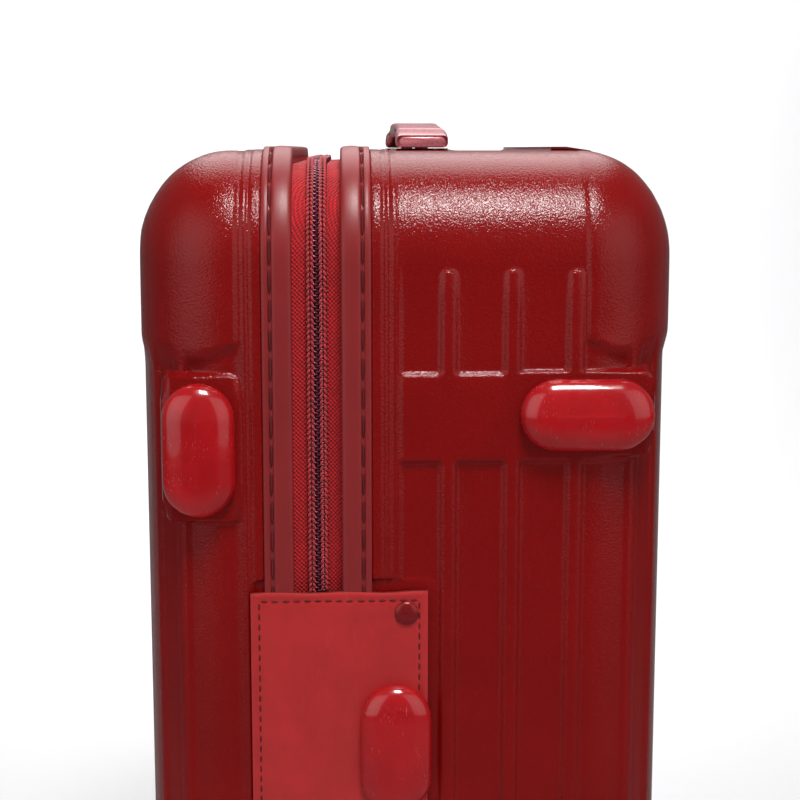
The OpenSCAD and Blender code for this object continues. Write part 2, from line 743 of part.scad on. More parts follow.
// Tray sunk in the top of the rear shell, with a lip that follows the shell's rounding
module telescope_bezel() color(trim_black) half(1) difference() {
    union() {
        intersection() {
            pocket_block(0, tele_floor - tele_floor_t, shell_top + 2 * bezel_t);
            shell_form(0, -bezel_t);
        }
        difference() {
            intersection() {
                pocket_block(-bezel_lip, tele_floor, shell_top + 2 * bezel_t);
                shell_form(0, -bezel_t);
            }
            shell_form(-cut, 0);
        }
    }
    pocket_block(pocket_wall, tele_floor, shell_top + 3 * bezel_t);
    at_tubes() tube_core(1, tele_floor - tele_floor_t - cut, tele_floor + cut, slide_gap);
}

// Solid of a tube's outside: stage 0 is the outer tube, 1 the middle one and 2 the inner one
module tube_core(stage, low, high, extra) {
    w = tube_w - stage * tube_step + 2 * extra;
    d = tube_d - stage * tube_step + 2 * extra;
    translate([-w / 2, -d / 2, low]) cube([w, d, high - low]);
}

module tube(stage, low, high) difference() {
    tube_core(stage, low, high, 0);
    tube_core(stage, low - cut, high + cut, -tube_wall);
}

module telescope_outer_tubes() color(alu) half(1) at_tubes()
    tube(0, outer_tube_low, tele_floor - tele_floor_t);
module telescope_middle_tubes() color(alu) half(1) at_tubes()
    tube(1, outer_tube_low + 8, tele_floor + 3);
module telescope_inner_tubes() color(alu) half(1) at_tubes()
    tube(2, outer_tube_low + 16, tele_grip_low);

// Brackets that hold the outer tubes against the rear shell's back wall
module telescope_brackets() color(trim_black) half(1)
    for (s = [-1, 1], z = [shell_low + corner_r + 8, shell_top - corner_r - 8 - bracket_h])
        block([s * tube_pitch / 2 - tube_w / 2 - 3, tube_y + tube_d / 2, z],
            [s * tube_pitch / 2 + tube_w / 2 + 3, face_y - shell_wall, z + bracket_h]);

module tele_button_block(gap, drop) block(
    [-tele_button_w / 2 - gap, tube_y - pocket_d / 2 + 5 - gap, shell_top - tele_button_h - drop],
    [tele_button_w / 2 + gap, tube_y - pocket_d / 2 + 5 + tele_button_d + gap, shell_top + cut]);

module telescope_grip() color(trim_black) half(1) difference() {
    intersection() {
        pocket_block(pocket_wall + cut, tele_grip_low, shell_top);
        shell_form(0, slide_gap);
    }
    tele_button_block(slide_gap, tele_button_press + cut);
}

module telescope_button() color(steel) half(1) intersection() {
    tele_button_block(0, 0);
    shell_form(0, slide_gap - tele_button_proud);
}

// ---- Casters -----------------------------------------------------------------------------------

module at_housing_screws() for (a = [90, 210, 330]) rotate(a) translate([housing_screw_at, 0, housing_low]) children();

module housing_screws() at_housing_screws() {
    cylinder(r = housing_screw_head_r, h = screw_head_t);
    translate([0, 0, screw_head_t]) cylinder(r = housing_screw_r, h = housing_screw_len - screw_head_t);
}

// Swivel seats in the shell's lower corners, each with a skin that wraps the corner
module wheel_housings() difference() {
    union() {
        at_casters() translate([0, 0, housing_low]) cylinder(r = housing_r, h = housing_top - housing_low);
        difference() {
            intersection() {
                at_casters() block([-housing_r - 8, -housing_r + 6, 0], [housing_r + 8, housing_r + 8, housing_top + 16]);
                shell_form(0, -housing_skin);
            }
            shell_form(-cut, 0);
        }
    }
    at_casters() {
        cylinder(r = pivot_r + turn_gap, h = pivot_top + slide_gap);
        at_housing_screws() {
            translate([0, 0, -cut]) cylinder(r = housing_screw_head_r + turn_gap, h = screw_head_t + cut);
            cylinder(r = housing_screw_r + turn_gap, h = housing_screw_len);
        }
    }
}

module rear_wheel_housings() color(trim_black) half(1) wheel_housings();
module front_wheel_housings() color(trim_black) half(-1) wheel_housings();

// A caster's own frame: swivel axis on Z, trail along +X and axle along Y
module at_caster(corner) translate([
        shell_x + corner_hand(corner) * (half_w - caster_from_side),
        corner_side(corner) * (face_y - caster_from_face), 0])
    mirror([corner_hand(corner) < 0 ? 1 : 0, 0, 0]) children();

module on_axle(y0, y1, r) translate([caster_trail, y1, wheel_r]) rotate([90, 0, 0]) cylinder(r = r, h = y1 - y0);

module fork(corner) color(trim_black) at_caster(corner) difference() {
    union() {
        translate([0, 0, hub_low]) cylinder(r = hub_r, h = housing_low - slide_gap - hub_low);
        translate([0, 0, hub_low]) cylinder(r = pivot_r, h = pivot_top - hub_low);
        along_y(-fork_t / 2, fork_t / 2) polygon([
            [-hub_r + 3, hub_low + 1], [caster_trail - boss_r + 1, wheel_r], [caster_trail, wheel_r - boss_r + 1],
            [caster_trail + boss_r - 1, wheel_r], [hub_r - 1, hub_low + 1]]);
        on_axle(-fork_t / 2, fork_t / 2, boss_r);
    }
    on_axle(-fork_t, fork_t, axle_r + turn_gap);
}

module axle(corner) color(steel) at_caster(corner) {
    on_axle(-axle_half, axle_half, axle_r);
    on_axle(axle_half, axle_half + axle_head_t, axle_head_r);
    on_axle(-axle_half - axle_head_t, -axle_half, axle_head_r);
}

// A wheel with a dished outer face; the near one is on the zip's side of the fork
module wheel(corner, far) color(trim_black) at_caster(corner) mirror([0, far * corner_side(corner) < 0 ? 1 : 0, 0]) {
    inner = fork_t / 2 + wheel_gap;
    difference() {
        on_axle(inner, inner + wheel_w, wheel_r);
        on_axle(inner - cut, inner + wheel_w + cut, axle_r + turn_gap);
        difference() {
            on_axle(inner + wheel_w - 1.5, inner + wheel_w + cut, wheel_r - 4);
            on_axle(inner, inner + wheel_w + 2 * cut, axle_head_r + 2);
        }
    }
}

// ---- Assembly ------------------------------------------------------------------------------------

rear_shell();
rear_welt();
rear_zip_tape();
rear_zip_coil();
rear_lining();
packing_straps();
strap_buckles();
hinge_flap_rear();
hinge_rivets();
hinge_foot();
rear_side_feet();
rear_screws();
top_handle_mounts();
side_handle_mounts();
rear_wheel_housings();
top_handle();
side_handle();
lock_housing();
lock_dial_upper();
lock_dial_middle();
lock_dial_lower();
lock_button();
lock_key_core();
zip_slider_upper();
zip_pull_upper();
zip_slider_lower();
zip_pull_lower();
telescope_bezel();
telescope_outer_tubes();
telescope_brackets();
telescope_middle_tubes();
telescope_inner_tubes();
telescope_grip();
telescope_button();
front_shell();
front_welt();
front_zip_tape();
front_zip_coil();
front_lining();
front_pocket();
hinge_flap_front();
front_side_feet();
front_screws();
front_wheel_housings();
for (corner = corners) {
    fork(corner);
    axle(corner);
    wheel(corner, -1);
    wheel(corner, 1);
}
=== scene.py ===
# %% [markdown]
# # A hard shell suitcase on wheels
#
# This lesson builds the looks of a cabin suitcase around its finished CAD model. The CAD says where everything
# is and how it moves. Blender adds what the eye looks for: ribs pressed into the shells, sewn edges, zip teeth,
# leather, scratched feet and tyre tread.

# %% Load the frame
import math

import bmesh
import bpy
import numpy as np
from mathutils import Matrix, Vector


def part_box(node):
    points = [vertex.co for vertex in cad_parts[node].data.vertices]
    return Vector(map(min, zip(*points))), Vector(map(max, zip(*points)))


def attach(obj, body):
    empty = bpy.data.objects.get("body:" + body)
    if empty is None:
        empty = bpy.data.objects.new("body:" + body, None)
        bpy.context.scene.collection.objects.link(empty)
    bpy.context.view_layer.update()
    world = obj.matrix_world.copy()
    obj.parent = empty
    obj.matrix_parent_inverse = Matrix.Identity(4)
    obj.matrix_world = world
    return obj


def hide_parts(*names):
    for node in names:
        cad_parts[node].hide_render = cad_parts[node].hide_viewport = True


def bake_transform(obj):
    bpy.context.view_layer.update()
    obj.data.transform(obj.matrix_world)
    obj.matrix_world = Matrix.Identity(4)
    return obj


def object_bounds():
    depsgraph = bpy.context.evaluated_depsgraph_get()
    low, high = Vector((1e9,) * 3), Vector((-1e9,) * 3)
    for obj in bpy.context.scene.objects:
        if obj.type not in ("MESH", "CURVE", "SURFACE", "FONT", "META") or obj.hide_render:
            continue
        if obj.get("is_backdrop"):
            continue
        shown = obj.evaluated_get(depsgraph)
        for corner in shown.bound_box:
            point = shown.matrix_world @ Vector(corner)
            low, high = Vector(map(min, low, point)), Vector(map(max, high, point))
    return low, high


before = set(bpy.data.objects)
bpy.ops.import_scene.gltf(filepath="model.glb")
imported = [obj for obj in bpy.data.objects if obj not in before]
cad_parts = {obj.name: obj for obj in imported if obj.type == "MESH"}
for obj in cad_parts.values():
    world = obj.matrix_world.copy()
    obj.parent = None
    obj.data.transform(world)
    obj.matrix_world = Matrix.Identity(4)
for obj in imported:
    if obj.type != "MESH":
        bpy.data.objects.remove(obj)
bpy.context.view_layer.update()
MM = 0.001

# %% [markdown]
# ## The sizes that every step shares
#
# The two shells are cups that meet at the zip. It is easiest to think in a half's own frame: depth runs from the
# middle of the case out to that half's face, so the front cup is the rear cup mirrored. The sizes are in
# millimetres, because that is how a case maker thinks, and a single factor turns them into metres.

# %% Shared sizes, in millimetres
SHELL_X, SHELL_Z = 1.75, 298.0       # middle of the shells
HALF_W, HALF_H = 195.0, 252.0        # half of their width and height
FACE_Y = 115.0                       # from the middle of the case to each face
CORNER, ROUND = 46.0, 40.0           # corner radius, and depth of the rounding towards the face
CORE_W, CORE_H = HALF_W - CORNER, HALF_H - CORNER
ZIP = {1: -38.0, -1: 38.0}           # the zip plane seen from the rear half and from the front half
RIM_GAP, WELT_END = 16.0, 22.5       # zip plane to the shell's edge, and to the far edge of the welt
BODY = {1: "case", -1: "lid"}
HALF_NAME = {1: "rear", -1: "front"}

shell_low, shell_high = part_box("rear_shell")
print("rear shell box in mm:", [round(v / MM, 1) for v in (*shell_low, *shell_high)])

# %% [markdown]
# ## Camera, floor and light
#
# The case is seen from its hinge side, from about as high as its top, and the camera looks down a little. A long
# lens keeps the upright edges nearly parallel. The light is a plain studio: a pale floor that curves up into a
# wall, one strong soft box above, two wide weak ones at the sides, one over the back and one for the wall.

# %% Camera
VIEW_TURN = math.radians(2.0)        # the case is turned a little away from the camera
VIEW_DOWN = math.radians(8.69)
VIEW_DISTANCE, VIEW_SHIFT = 671.1, -3.74
side_plane = SHELL_X + HALF_W

camera = bpy.data.objects.new("camera", bpy.data.cameras.new("camera"))
bpy.context.scene.collection.objects.link(camera)
camera.data.lens, camera.data.sensor_width = 73.94, 36.0
camera.data.clip_start, camera.data.clip_end = 0.05, 20.0
camera.location = Vector((
    side_plane + VIEW_DISTANCE * math.cos(VIEW_TURN),
    VIEW_SHIFT - VIEW_DISTANCE * math.sin(VIEW_TURN),
    SHELL_Z + HALF_H)) * MM
camera.rotation_euler = (math.pi / 2 - VIEW_DOWN, 0, math.pi / 2 - VIEW_TURN)
bpy.context.scene.camera = camera
print("camera at", [round(v, 3) for v in camera.location])

# %% [markdown]
# The floor and the wall behind it are one sheet with a curved fold, so no line crosses the background. It is built
# from a few rows of points that follow a floor, a quarter circle and a wall.

# %% Floor and wall
def link(obj):
    bpy.context.scene.collection.objects.link(obj)
    return obj


def new_mesh(name, points, faces, smooth=True):
    """An object from points in millimetres and lists of corner numbers."""
    mesh = bpy.data.meshes.new(name)
    mesh.from_pydata((np.asarray(points, float) * MM).tolist(), [], faces)
    if smooth:
        mesh.shade_smooth()
    mesh.update()
    return link(bpy.data.objects.new(name, mesh))


def recalculated(obj):
    """Turns every face of a closed mesh outwards."""
    tidy = bmesh.new()
    tidy.from_mesh(obj.data)
    bmesh.ops.recalc_face_normals(tidy, faces=tidy.faces)
    tidy.to_mesh(obj.data)
    tidy.free()
    return obj


def crease(obj, degrees):
    """Edges that bend by more than this stay hard, and the rest are shaded smooth."""
    obj.data.set_sharp_from_angle(angle=math.radians(degrees))


def ring_quads(rings, count):
    """Faces between neighbouring closed rings of count points each."""
    quads = []
    for k in range(rings - 1):
        for m in range(count):
            n = (m + 1) % count
            quads.append((k * count + m, k * count + n, (k + 1) * count + n, (k + 1) * count + m))
    return quads


def ring_caps(rings, count):
    """The two end faces of a stack of rings."""
    return [tuple(range(count))[::-1], tuple((rings - 1) * count + m for m in range(count))]


FLOOR_FRONT, FOLD_START, FOLD_R, WALL_TOP, FLOOR_SIDE, WALL_SIDE = 3400, -900, 700, 3200, 3400, 1100

fold = [(FLOOR_FRONT, 0.0), (FOLD_START, 0.0)]
fold += [(FOLD_START - FOLD_R * math.sin(a), FOLD_R * (1 - math.cos(a)))
         for a in np.linspace(0, math.pi / 2, 17)[1:]]
fold.append((FOLD_START - FOLD_R, WALL_TOP))
points = [(x, side * (FLOOR_SIDE if z == 0 else WALL_SIDE), z) for x, z in fold for side in (-1, 1)]
backdrop = new_mesh("backdrop", points, [(2 * k, 2 * k + 1, 2 * k + 3, 2 * k + 2) for k in range(len(fold) - 1)])
backdrop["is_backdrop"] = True
print("backdrop folds over", len(fold), "rows")

# %% [markdown]
# Soft boxes are area lights. The one above is small and strong, so the grain of the shells breaks its reflection
# into a band of bright specks. The two side ones are as wide as a bed sheet, because a wide, weak light gives a soft
# glow on a rounded edge where a narrow one would draw a hard streak. One more hangs over the back, and the last
# lights the wall.

# %% Lights
def soft_box(name, place, target, size, power, spread):
    """size in mm, power in watts. A small spread is a honeycomb grid in front of the box."""
    light = bpy.data.lights.new(name, "AREA")
    light.spread = math.radians(spread)
    light.shape, light.size, light.size_y, light.energy = "RECTANGLE", size[0] * MM, size[1] * MM, power
    obj = link(bpy.data.objects.new(name, light))
    obj.location = Vector(place) * MM
    obj.rotation_euler = (Vector(target) - Vector(place)).to_track_quat("-Z", "Y").to_euler()
    return obj


CASE_MIDDLE = (0, 0, 330)
soft_box("soft_box_above", (790, 130, 1650), CASE_MIDDLE, (380, 420), 4.6, 100)
soft_box("soft_box_left", (1100, -1250, 900), CASE_MIDDLE, (1700, 1700), 3.2, 120)
soft_box("soft_box_right", (1100, 1250, 900), CASE_MIDDLE, (1700, 1700), 2.6, 120)
soft_box("soft_box_over_back", (-900, 0, 1750), CASE_MIDDLE, (1500, 1500), 9, 120)
soft_box("soft_box_on_wall", (-500, 0, 1500), (-1600, 0, 1000), (1500, 700), 15, 140)

bpy.context.scene.view_settings.view_transform = "Standard"

# %% [markdown]
# ## Materials: the effects that several finishes share
#
# Real surfaces are never one flat colour. Four effects turn up again and again on this case: a fine grain that
# breaks up reflections, slow drifts of colour, light scuffs, and the threads of cloth, which also paint shade into
# the gaps between threads and a highlight onto their tops. Each is a node group with its own inputs and outputs, so
# that every material can use it at its own scale. A group only puts out values and colours. The shader stays in the
# material.

# %% Node helpers
def new_group(name, inputs, outputs):
    """A shader node group with named sockets: (name, kind, default)."""
    group = bpy.data.node_groups.new(name, "ShaderNodeTree")
    kinds = {"value": "NodeSocketFloat", "colour": "NodeSocketColor", "vector": "NodeSocketVector"}
    for label, kind, default in inputs:
        socket = group.interface.new_socket(label, in_out="INPUT", socket_type=kinds[kind])
        if default is not None:
            socket.default_value = default
    for label, kind in outputs:
        group.interface.new_socket(label, in_out="OUTPUT", socket_type=kinds[kind])
    return group, group.nodes.new("NodeGroupInput"), group.nodes.new("NodeGroupOutput")


def node(tree, kind, **settings):
    """Adds a node. A setting named like an input fills that input, or links to it if it is a socket."""
    made = tree.nodes.new(kind)
    for key, value in settings.items():
        if hasattr(made, key):
            setattr(made, key, value)
    for key, value in settings.items():
        if hasattr(made, key):
            continue
        numbered = key[0] == "i" and key[1:].isdigit()
        socket = made.inputs[int(key[1:]) if numbered else key.replace("_", " ")]
        if isinstance(value, bpy.types.NodeSocket):
            tree.links.new(value, socket)
        else:
            socket.default_value = value
    return made


def maths(tree, operation, a, b=0.5, clamp=False):
    return node(tree, "ShaderNodeMath", operation=operation, use_clamp=clamp, i0=a, i1=b).outputs[0]


def remap(tree, value, low, high, to_low=0.0, to_high=1.0):
    """A value from one range to another, with soft ends."""
    return node(tree, "ShaderNodeMapRange", interpolation_type="SMOOTHSTEP", i0=value, i1=low, i2=high,
                i3=to_low, i4=to_high).outputs[0]


def blend_colours(tree, share, a, b, kind="MIX"):
    mix = tree.nodes.new("ShaderNodeMix")
    mix.data_type, mix.blend_type, mix.clamp_factor = "RGBA", kind, True
    for socket, value in ((mix.inputs[0], share), (mix.inputs[6], a), (mix.inputs[7], b)):
        if isinstance(value, bpy.types.NodeSocket):
            tree.links.new(value, socket)
        else:
            socket.default_value = value
    return mix.outputs[2]


def colour(red, green, blue):
    """A screen colour from 0 to 255 as the linear colour that shaders work in."""
    return (*[c / 12.92 if c <= 0.04045 else ((c + 0.055) / 1.055) ** 2.4
              for c in (red / 255, green / 255, blue / 255)], 1.0)


print("a mid red is", [round(c, 3) for c in colour(125, 18, 17)])

# %% [markdown]
# White walls a few metres away would fill the shadows a little and close off the view. The world does both: it
# gives little light, but the eye sees it as pale as the paper.

# %% The air of the studio
world = bpy.data.worlds.new("studio_air")
bpy.context.scene.world = world
world.use_nodes = True
air = world.node_tree
air.nodes["Background"].inputs["Color"].default_value = (0.97, 0.98, 1.0, 1)
seen = air.nodes.new("ShaderNodeLightPath").outputs["Is Camera Ray"]
AIR_FILL, AIR_SEEN = 0.12, 0.93
air.links.new(remap(air, seen, 0.0, 1.0, AIR_FILL, AIR_SEEN), air.nodes["Background"].inputs["Strength"])
print("air fill", AIR_FILL)

# %% Shared effect: fine grain
def make_grain_group():
    group, given, out = new_group(
        "fine_grain",
        [("Vector", "vector", None), ("Grain Size", "value", 0.001), ("Mix of Pits", "value", 0.4)],
        [("Height", "value"), ("Mask", "value")])
    per_metre = maths(group, "DIVIDE", 1.0, given.outputs["Grain Size"])
    cells = node(group, "ShaderNodeTexVoronoi", feature="SMOOTH_F1", Vector=given.outputs["Vector"], Scale=per_metre,
                 Smoothness=0.7)
    noise = node(group, "ShaderNodeTexNoise", Vector=given.outputs["Vector"],
                 Scale=maths(group, "MULTIPLY", per_metre, 0.6), Detail=1.0, Roughness=0.6)
    pits = maths(group, "MULTIPLY", cells.outputs["Distance"], given.outputs["Mix of Pits"])
    height = maths(group, "ADD", noise.outputs[0], pits)
    group.links.new(height, out.inputs["Height"])
    group.links.new(remap(group, noise.outputs[0], 0.35, 0.65), out.inputs["Mask"])
    return group


GRAIN = make_grain_group()
print("group", GRAIN.name, [s.name for s in GRAIN.interface.items_tree])

# %% Shared effect: slow drift of tone
def make_drift_group():
    group, given, out = new_group(
        "tone_drift",
        [("Vector", "vector", None), ("Colour", "colour", (0.5, 0.5, 0.5, 1)), ("Dark", "value", 0.85),
         ("Light", "value", 1.12), ("Patch Size", "value", 0.06)],
        [("Colour", "colour"), ("Mask", "value")])
    noise = node(group, "ShaderNodeTexNoise", Vector=given.outputs["Vector"],
                 Scale=maths(group, "DIVIDE", 1.0, given.outputs["Patch Size"]), Detail=4.0, Roughness=0.55)
    mask = remap(group, noise.outputs[0], 0.3, 0.7)
    span = maths(group, "SUBTRACT", given.outputs["Light"], given.outputs["Dark"])
    level = maths(group, "ADD", maths(group, "MULTIPLY", mask, span), given.outputs["Dark"])
    tone = node(group, "ShaderNodeCombineColor", i0=level, i1=level, i2=level).outputs[0]
    group.links.new(blend_colours(group, 1.0, given.outputs["Colour"], tone, "MULTIPLY"), out.inputs["Colour"])
    group.links.new(mask, out.inputs["Mask"])
    return group


DRIFT = make_drift_group()
print("group", DRIFT.name)

# %% Shared effect: scuffs and fine scratches
def make_scuff_group():
    group, given, out = new_group(
        "scuffs",
        [("Vector", "vector", None), ("Amount", "value", 0.3), ("Size", "value", 0.02)],
        [("Mask", "value"), ("Height", "value")])
    per_metre = maths(group, "DIVIDE", 1.0, given.outputs["Size"])
    masks = []
    for turn, seed in (((0.3, 0.1, 0.5), 1.0), ((1.1, 0.7, -0.4), 1.7)):
        along = node(group, "ShaderNodeMapping", Vector=given.outputs["Vector"], Rotation=turn, Scale=(1.0, 14.0, 3.0))
        lines = node(group, "ShaderNodeTexNoise", Vector=along.outputs[0],
                     Scale=maths(group, "MULTIPLY", per_metre, seed), Detail=2.0, Roughness=0.5)
        masks.append(remap(group, lines.outputs[0], 0.66, 0.72))
    patches = node(group, "ShaderNodeTexNoise", Vector=given.outputs["Vector"],
                   Scale=maths(group, "MULTIPLY", per_metre, 0.7), Detail=2.0)
    lines = maths(group, "MAXIMUM", *masks)
    worn = maths(group, "MULTIPLY", lines, remap(group, patches.outputs[0], 0.45, 0.62))
    mask = maths(group, "MULTIPLY", worn, given.outputs["Amount"], True)
    group.links.new(mask, out.inputs["Mask"])
    group.links.new(maths(group, "MULTIPLY", mask, -1.0), out.inputs["Height"])
    return group


SCUFFS = make_scuff_group()
print("group", SCUFFS.name)

# %% Shared effect: woven threads
def make_weave_group():
    group, given, out = new_group(
        "woven_threads",
        [("Vector", "vector", None), ("Thread Size", "value", 0.0006)],
        [("Height", "value"), ("Mask", "value")])
    per_metre = maths(group, "DIVIDE", math.pi, given.outputs["Thread Size"])
    axes = node(group, "ShaderNodeSeparateXYZ", Vector=given.outputs["Vector"])
    across = maths(group, "ADD", axes.outputs[0], axes.outputs[1])
    upright = maths(group, "ADD", axes.outputs[2], maths(group, "MULTIPLY", axes.outputs[0], 0.5))
    waves = [maths(group, "SINE", maths(group, "MULTIPLY", axis, per_metre)) for axis in (across, upright)]
    product = maths(group, "MULTIPLY", *waves)
    fuzz = node(group, "ShaderNodeTexNoise", Vector=given.outputs["Vector"],
                Scale=maths(group, "DIVIDE", 1.6, given.outputs["Thread Size"]), Detail=2.0)
    height = maths(group, "ADD", maths(group, "MULTIPLY", product, 0.5), fuzz.outputs[0])
    group.links.new(height, out.inputs["Height"])
    # finish uses this mask for painted shade between the threads and a painted highlight on their tops
    group.links.new(remap(group, height, 0.1, 0.9), out.inputs["Mask"])
    return group


WEAVE = make_weave_group()
print("group", WEAVE.name)

# %% [markdown]
# One function mixes the effects into a material. The Principled shader and its constant values stay in the
# material. What changes over the surface (tone, roughness, bump) comes from the groups. The texture space is the
# object's own, which is the same for every piece here, so grain runs evenly across neighbouring pieces.

# %% How a finish is mixed
SCUFF_ROUGHNESS, SCUFF_DEPTH = 0.35, 0.00004
PAINTED_THREAD_HIGHLIGHT = 1.15                  # painted highlight: how much paler the tops of woven threads are


def finish(name, tone, rough, grain, drift=(0.85, 1.12, 0.06), scuffs=(0.0, 0.02), scuff_tone=None, weave=None,
           rough_swing=0.06, **shader):
    """A material. grain is (size, bump depth in metres), drift is (dark, light, patch size), scuffs (amount, size),
    weave (thread size, bump depth, painted shade between threads)."""
    material = bpy.data.materials.new(name)
    material.use_nodes = True
    tree = material.node_tree
    principled = tree.nodes["Principled BSDF"]
    for key, value in shader.items():
        principled.inputs[key.replace("_", " ")].default_value = value
    place = tree.nodes.new("ShaderNodeTexCoord").outputs["Object"]

    def shared(group, **values):
        made = tree.nodes.new("ShaderNodeGroup")
        made.node_tree = group
        tree.links.new(place, made.inputs["Vector"])
        for key, value in values.items():
            made.inputs[key.replace("_", " ")].default_value = value
        return made

    tones = shared(DRIFT, Colour=tone, Dark=drift[0], Light=drift[1], Patch_Size=drift[2])
    grains = shared(GRAIN, Grain_Size=grain[0])
    base, roughness = tones.outputs["Colour"], maths(
        tree, "ADD", rough - rough_swing / 2, maths(tree, "MULTIPLY", grains.outputs["Mask"], rough_swing))
    height = maths(tree, "MULTIPLY", grains.outputs["Height"], grain[1])
    if weave:
        threads = shared(WEAVE, Thread_Size=weave[0])
        height = maths(tree, "ADD", height, maths(tree, "MULTIPLY", threads.outputs["Height"], weave[1]))
        # painted shade and highlight: the gaps between threads are darkened and their tops made paler, by the weave's
        # height
        shade = remap(tree, threads.outputs["Mask"], 0.0, 1.0, weave[2], PAINTED_THREAD_HIGHLIGHT)
        grey = node(tree, "ShaderNodeCombineColor", i0=shade, i1=shade, i2=shade).outputs[0]
        base = blend_colours(tree, 1.0, base, grey, "MULTIPLY")
    if scuffs[0]:
        marks = shared(SCUFFS, Amount=scuffs[0], Size=scuffs[1])
        worn_tone = scuff_tone or tuple(min(1, c * 2.2 + 0.03) for c in tone)
        base = blend_colours(tree, marks.outputs["Mask"], base, worn_tone)
        added = maths(tree, "MULTIPLY", marks.outputs["Mask"], SCUFF_ROUGHNESS)
        roughness = maths(tree, "ADD", roughness, added, True)
        height = maths(tree, "ADD", height, maths(tree, "MULTIPLY", marks.outputs["Height"], SCUFF_DEPTH))
    bump = node(tree, "ShaderNodeBump", Height=height, Distance=1.0, Strength=1.0)
    tree.links.new(base, principled.inputs["Base Color"])
    tree.links.new(roughness, principled.inputs["Roughness"])
    tree.links.new(bump.outputs["Normal"], principled.inputs["Normal"])
    return material


# %% [markdown]
# ## The finishes
#
# The shells are moulded plastic with a fine orange-peel grain and a gloss. The welts are a softer, paler plastic.
# The feet are hard glossy plastic, a little see-through, with scratches from standing on them. Leather has large
# shallow grain and a soft sheen. Cloth gets threads.

# %% Red finishes
RED = {}
RED["shell"] = finish("shell_plastic", colour(134, 10, 10), 0.17, grain=(0.00055, 0.00019), drift=(0.93, 1.06, 0.05),
                      scuffs=(0.06, 0.03), rough_swing=0.04, Specular_IOR_Level=0.4)
RED["welt"] = finish("welt_plastic", colour(142, 32, 34), 0.4, grain=(0.0005, 0.000006), drift=(0.95, 1.05, 0.03),
                     scuffs=(0.08, 0.02), Specular_IOR_Level=0.55, Subsurface_Weight=0.08, Subsurface_Scale=0.002)
RED["thread"] = finish("sewing_thread", colour(96, 9, 17), 0.8, grain=(0.0003, 0.00005), drift=(0.7, 1.2, 0.004))
RED["tape"] = finish("zip_tape_weave", colour(208, 22, 32), 0.8, grain=(0.0004, 0.00003), drift=(0.9, 1.1, 0.02),
                     weave=(0.0009, 0.0004, 0.5), Sheen_Weight=0.2, Sheen_Roughness=0.4)
RED["leather"] = finish("flap_leather", colour(188, 28, 30), 0.5, grain=(0.0009, 0.00003), drift=(0.93, 1.07, 0.02),
                        scuffs=(0.35, 0.05), scuff_tone=colour(196, 66, 66), Sheen_Weight=0.12, Sheen_Roughness=0.5)
RED["leather_edge"] = finish("leather_cut_edge", colour(112, 24, 26), 0.75, grain=(0.0004, 0.0001),
                             drift=(0.8, 1.2, 0.004))
RED["foot"] = finish("foot_plastic", colour(182, 14, 22), 0.2, grain=(0.004, 0.00004), drift=(0.88, 1.1, 0.02),
                     scuffs=(0.5, 0.009), scuff_tone=colour(206, 92, 96), rough_swing=0.06, Coat_Weight=0.9,
                     Coat_Roughness=0.04, Subsurface_Weight=0.1, Subsurface_Scale=0.003)
RED["rivet"] = finish("rivet_lacquer", colour(150, 22, 28), 0.3, grain=(0.001, 0.00001), scuffs=(0.3, 0.004),
                      Metallic=0.35, Coat_Weight=0.4, Coat_Roughness=0.15)
RED["grip"] = finish("grip_satin_metal", colour(202, 118, 124), 0.3, grain=(0.0006, 0.000004),
                     drift=(0.9, 1.1, 0.02), scuffs=(0.15, 0.02), Metallic=0.45, Coat_Weight=0.3, Coat_Roughness=0.2)
RED["lock"] = finish("lock_satin_metal", colour(122, 30, 36), 0.34, grain=(0.0005, 0.00001), drift=(0.9, 1.1, 0.02),
                     scuffs=(0.2, 0.015), Metallic=0.6, Coat_Weight=0.2)
print("red finishes:", ", ".join(RED))

# %% Metal, black and cloth finishes
METAL = {
    "coil": finish("zip_coil_gloss", colour(104, 40, 56), 0.25, grain=(0.0006, 0.00001), drift=(0.6, 1.5, 0.002),
                   Metallic=0.55, Specular_IOR_Level=0.6),
    "steel": finish("screw_steel", colour(190, 190, 194), 0.3, grain=(0.0005, 0.00001), drift=(0.9, 1.05, 0.01),
                    scuffs=(0.3, 0.004), Metallic=1.0),
    "tube": finish("tube_brushed_aluminium", colour(205, 206, 210), 0.28, grain=(0.0004, 0.000006),
                   drift=(0.94, 1.03, 0.03), scuffs=(0.25, 0.03), Metallic=1.0),
    "dark": finish("zip_pull_dark_metal", colour(96, 42, 48), 0.26, grain=(0.0006, 0.00001), drift=(0.85, 1.15, 0.01),
                   scuffs=(0.3, 0.006), Metallic=0.9),
}
BLACK = {
    "trim": finish("black_nylon", colour(30, 30, 33), 0.48, grain=(0.0007, 0.00004), drift=(0.85, 1.15, 0.03),
                   scuffs=(0.25, 0.015)),
    "tyre": finish("wheel_rubber", colour(34, 33, 36), 0.62, grain=(0.0009, 0.00005), drift=(0.8, 1.3, 0.012),
                   scuffs=(0.4, 0.008), scuff_tone=colour(92, 88, 86)),
    "hub": finish("wheel_core_plastic", colour(120, 24, 28), 0.35, grain=(0.0007, 0.00002), drift=(0.9, 1.1, 0.02),
                  scuffs=(0.3, 0.006), Coat_Weight=0.3),
    "grip": finish("soft_touch_grip", colour(24, 24, 26), 0.55, grain=(0.0005, 0.00002), drift=(0.9, 1.1, 0.03),
                   scuffs=(0.2, 0.01)),
    "webbing": finish("strap_webbing", colour(38, 36, 40), 0.85, grain=(0.0005, 0.00004), drift=(0.85, 1.1, 0.02),
                      weave=(0.0013, 0.0003, 0.5), Sheen_Weight=0.3),
}
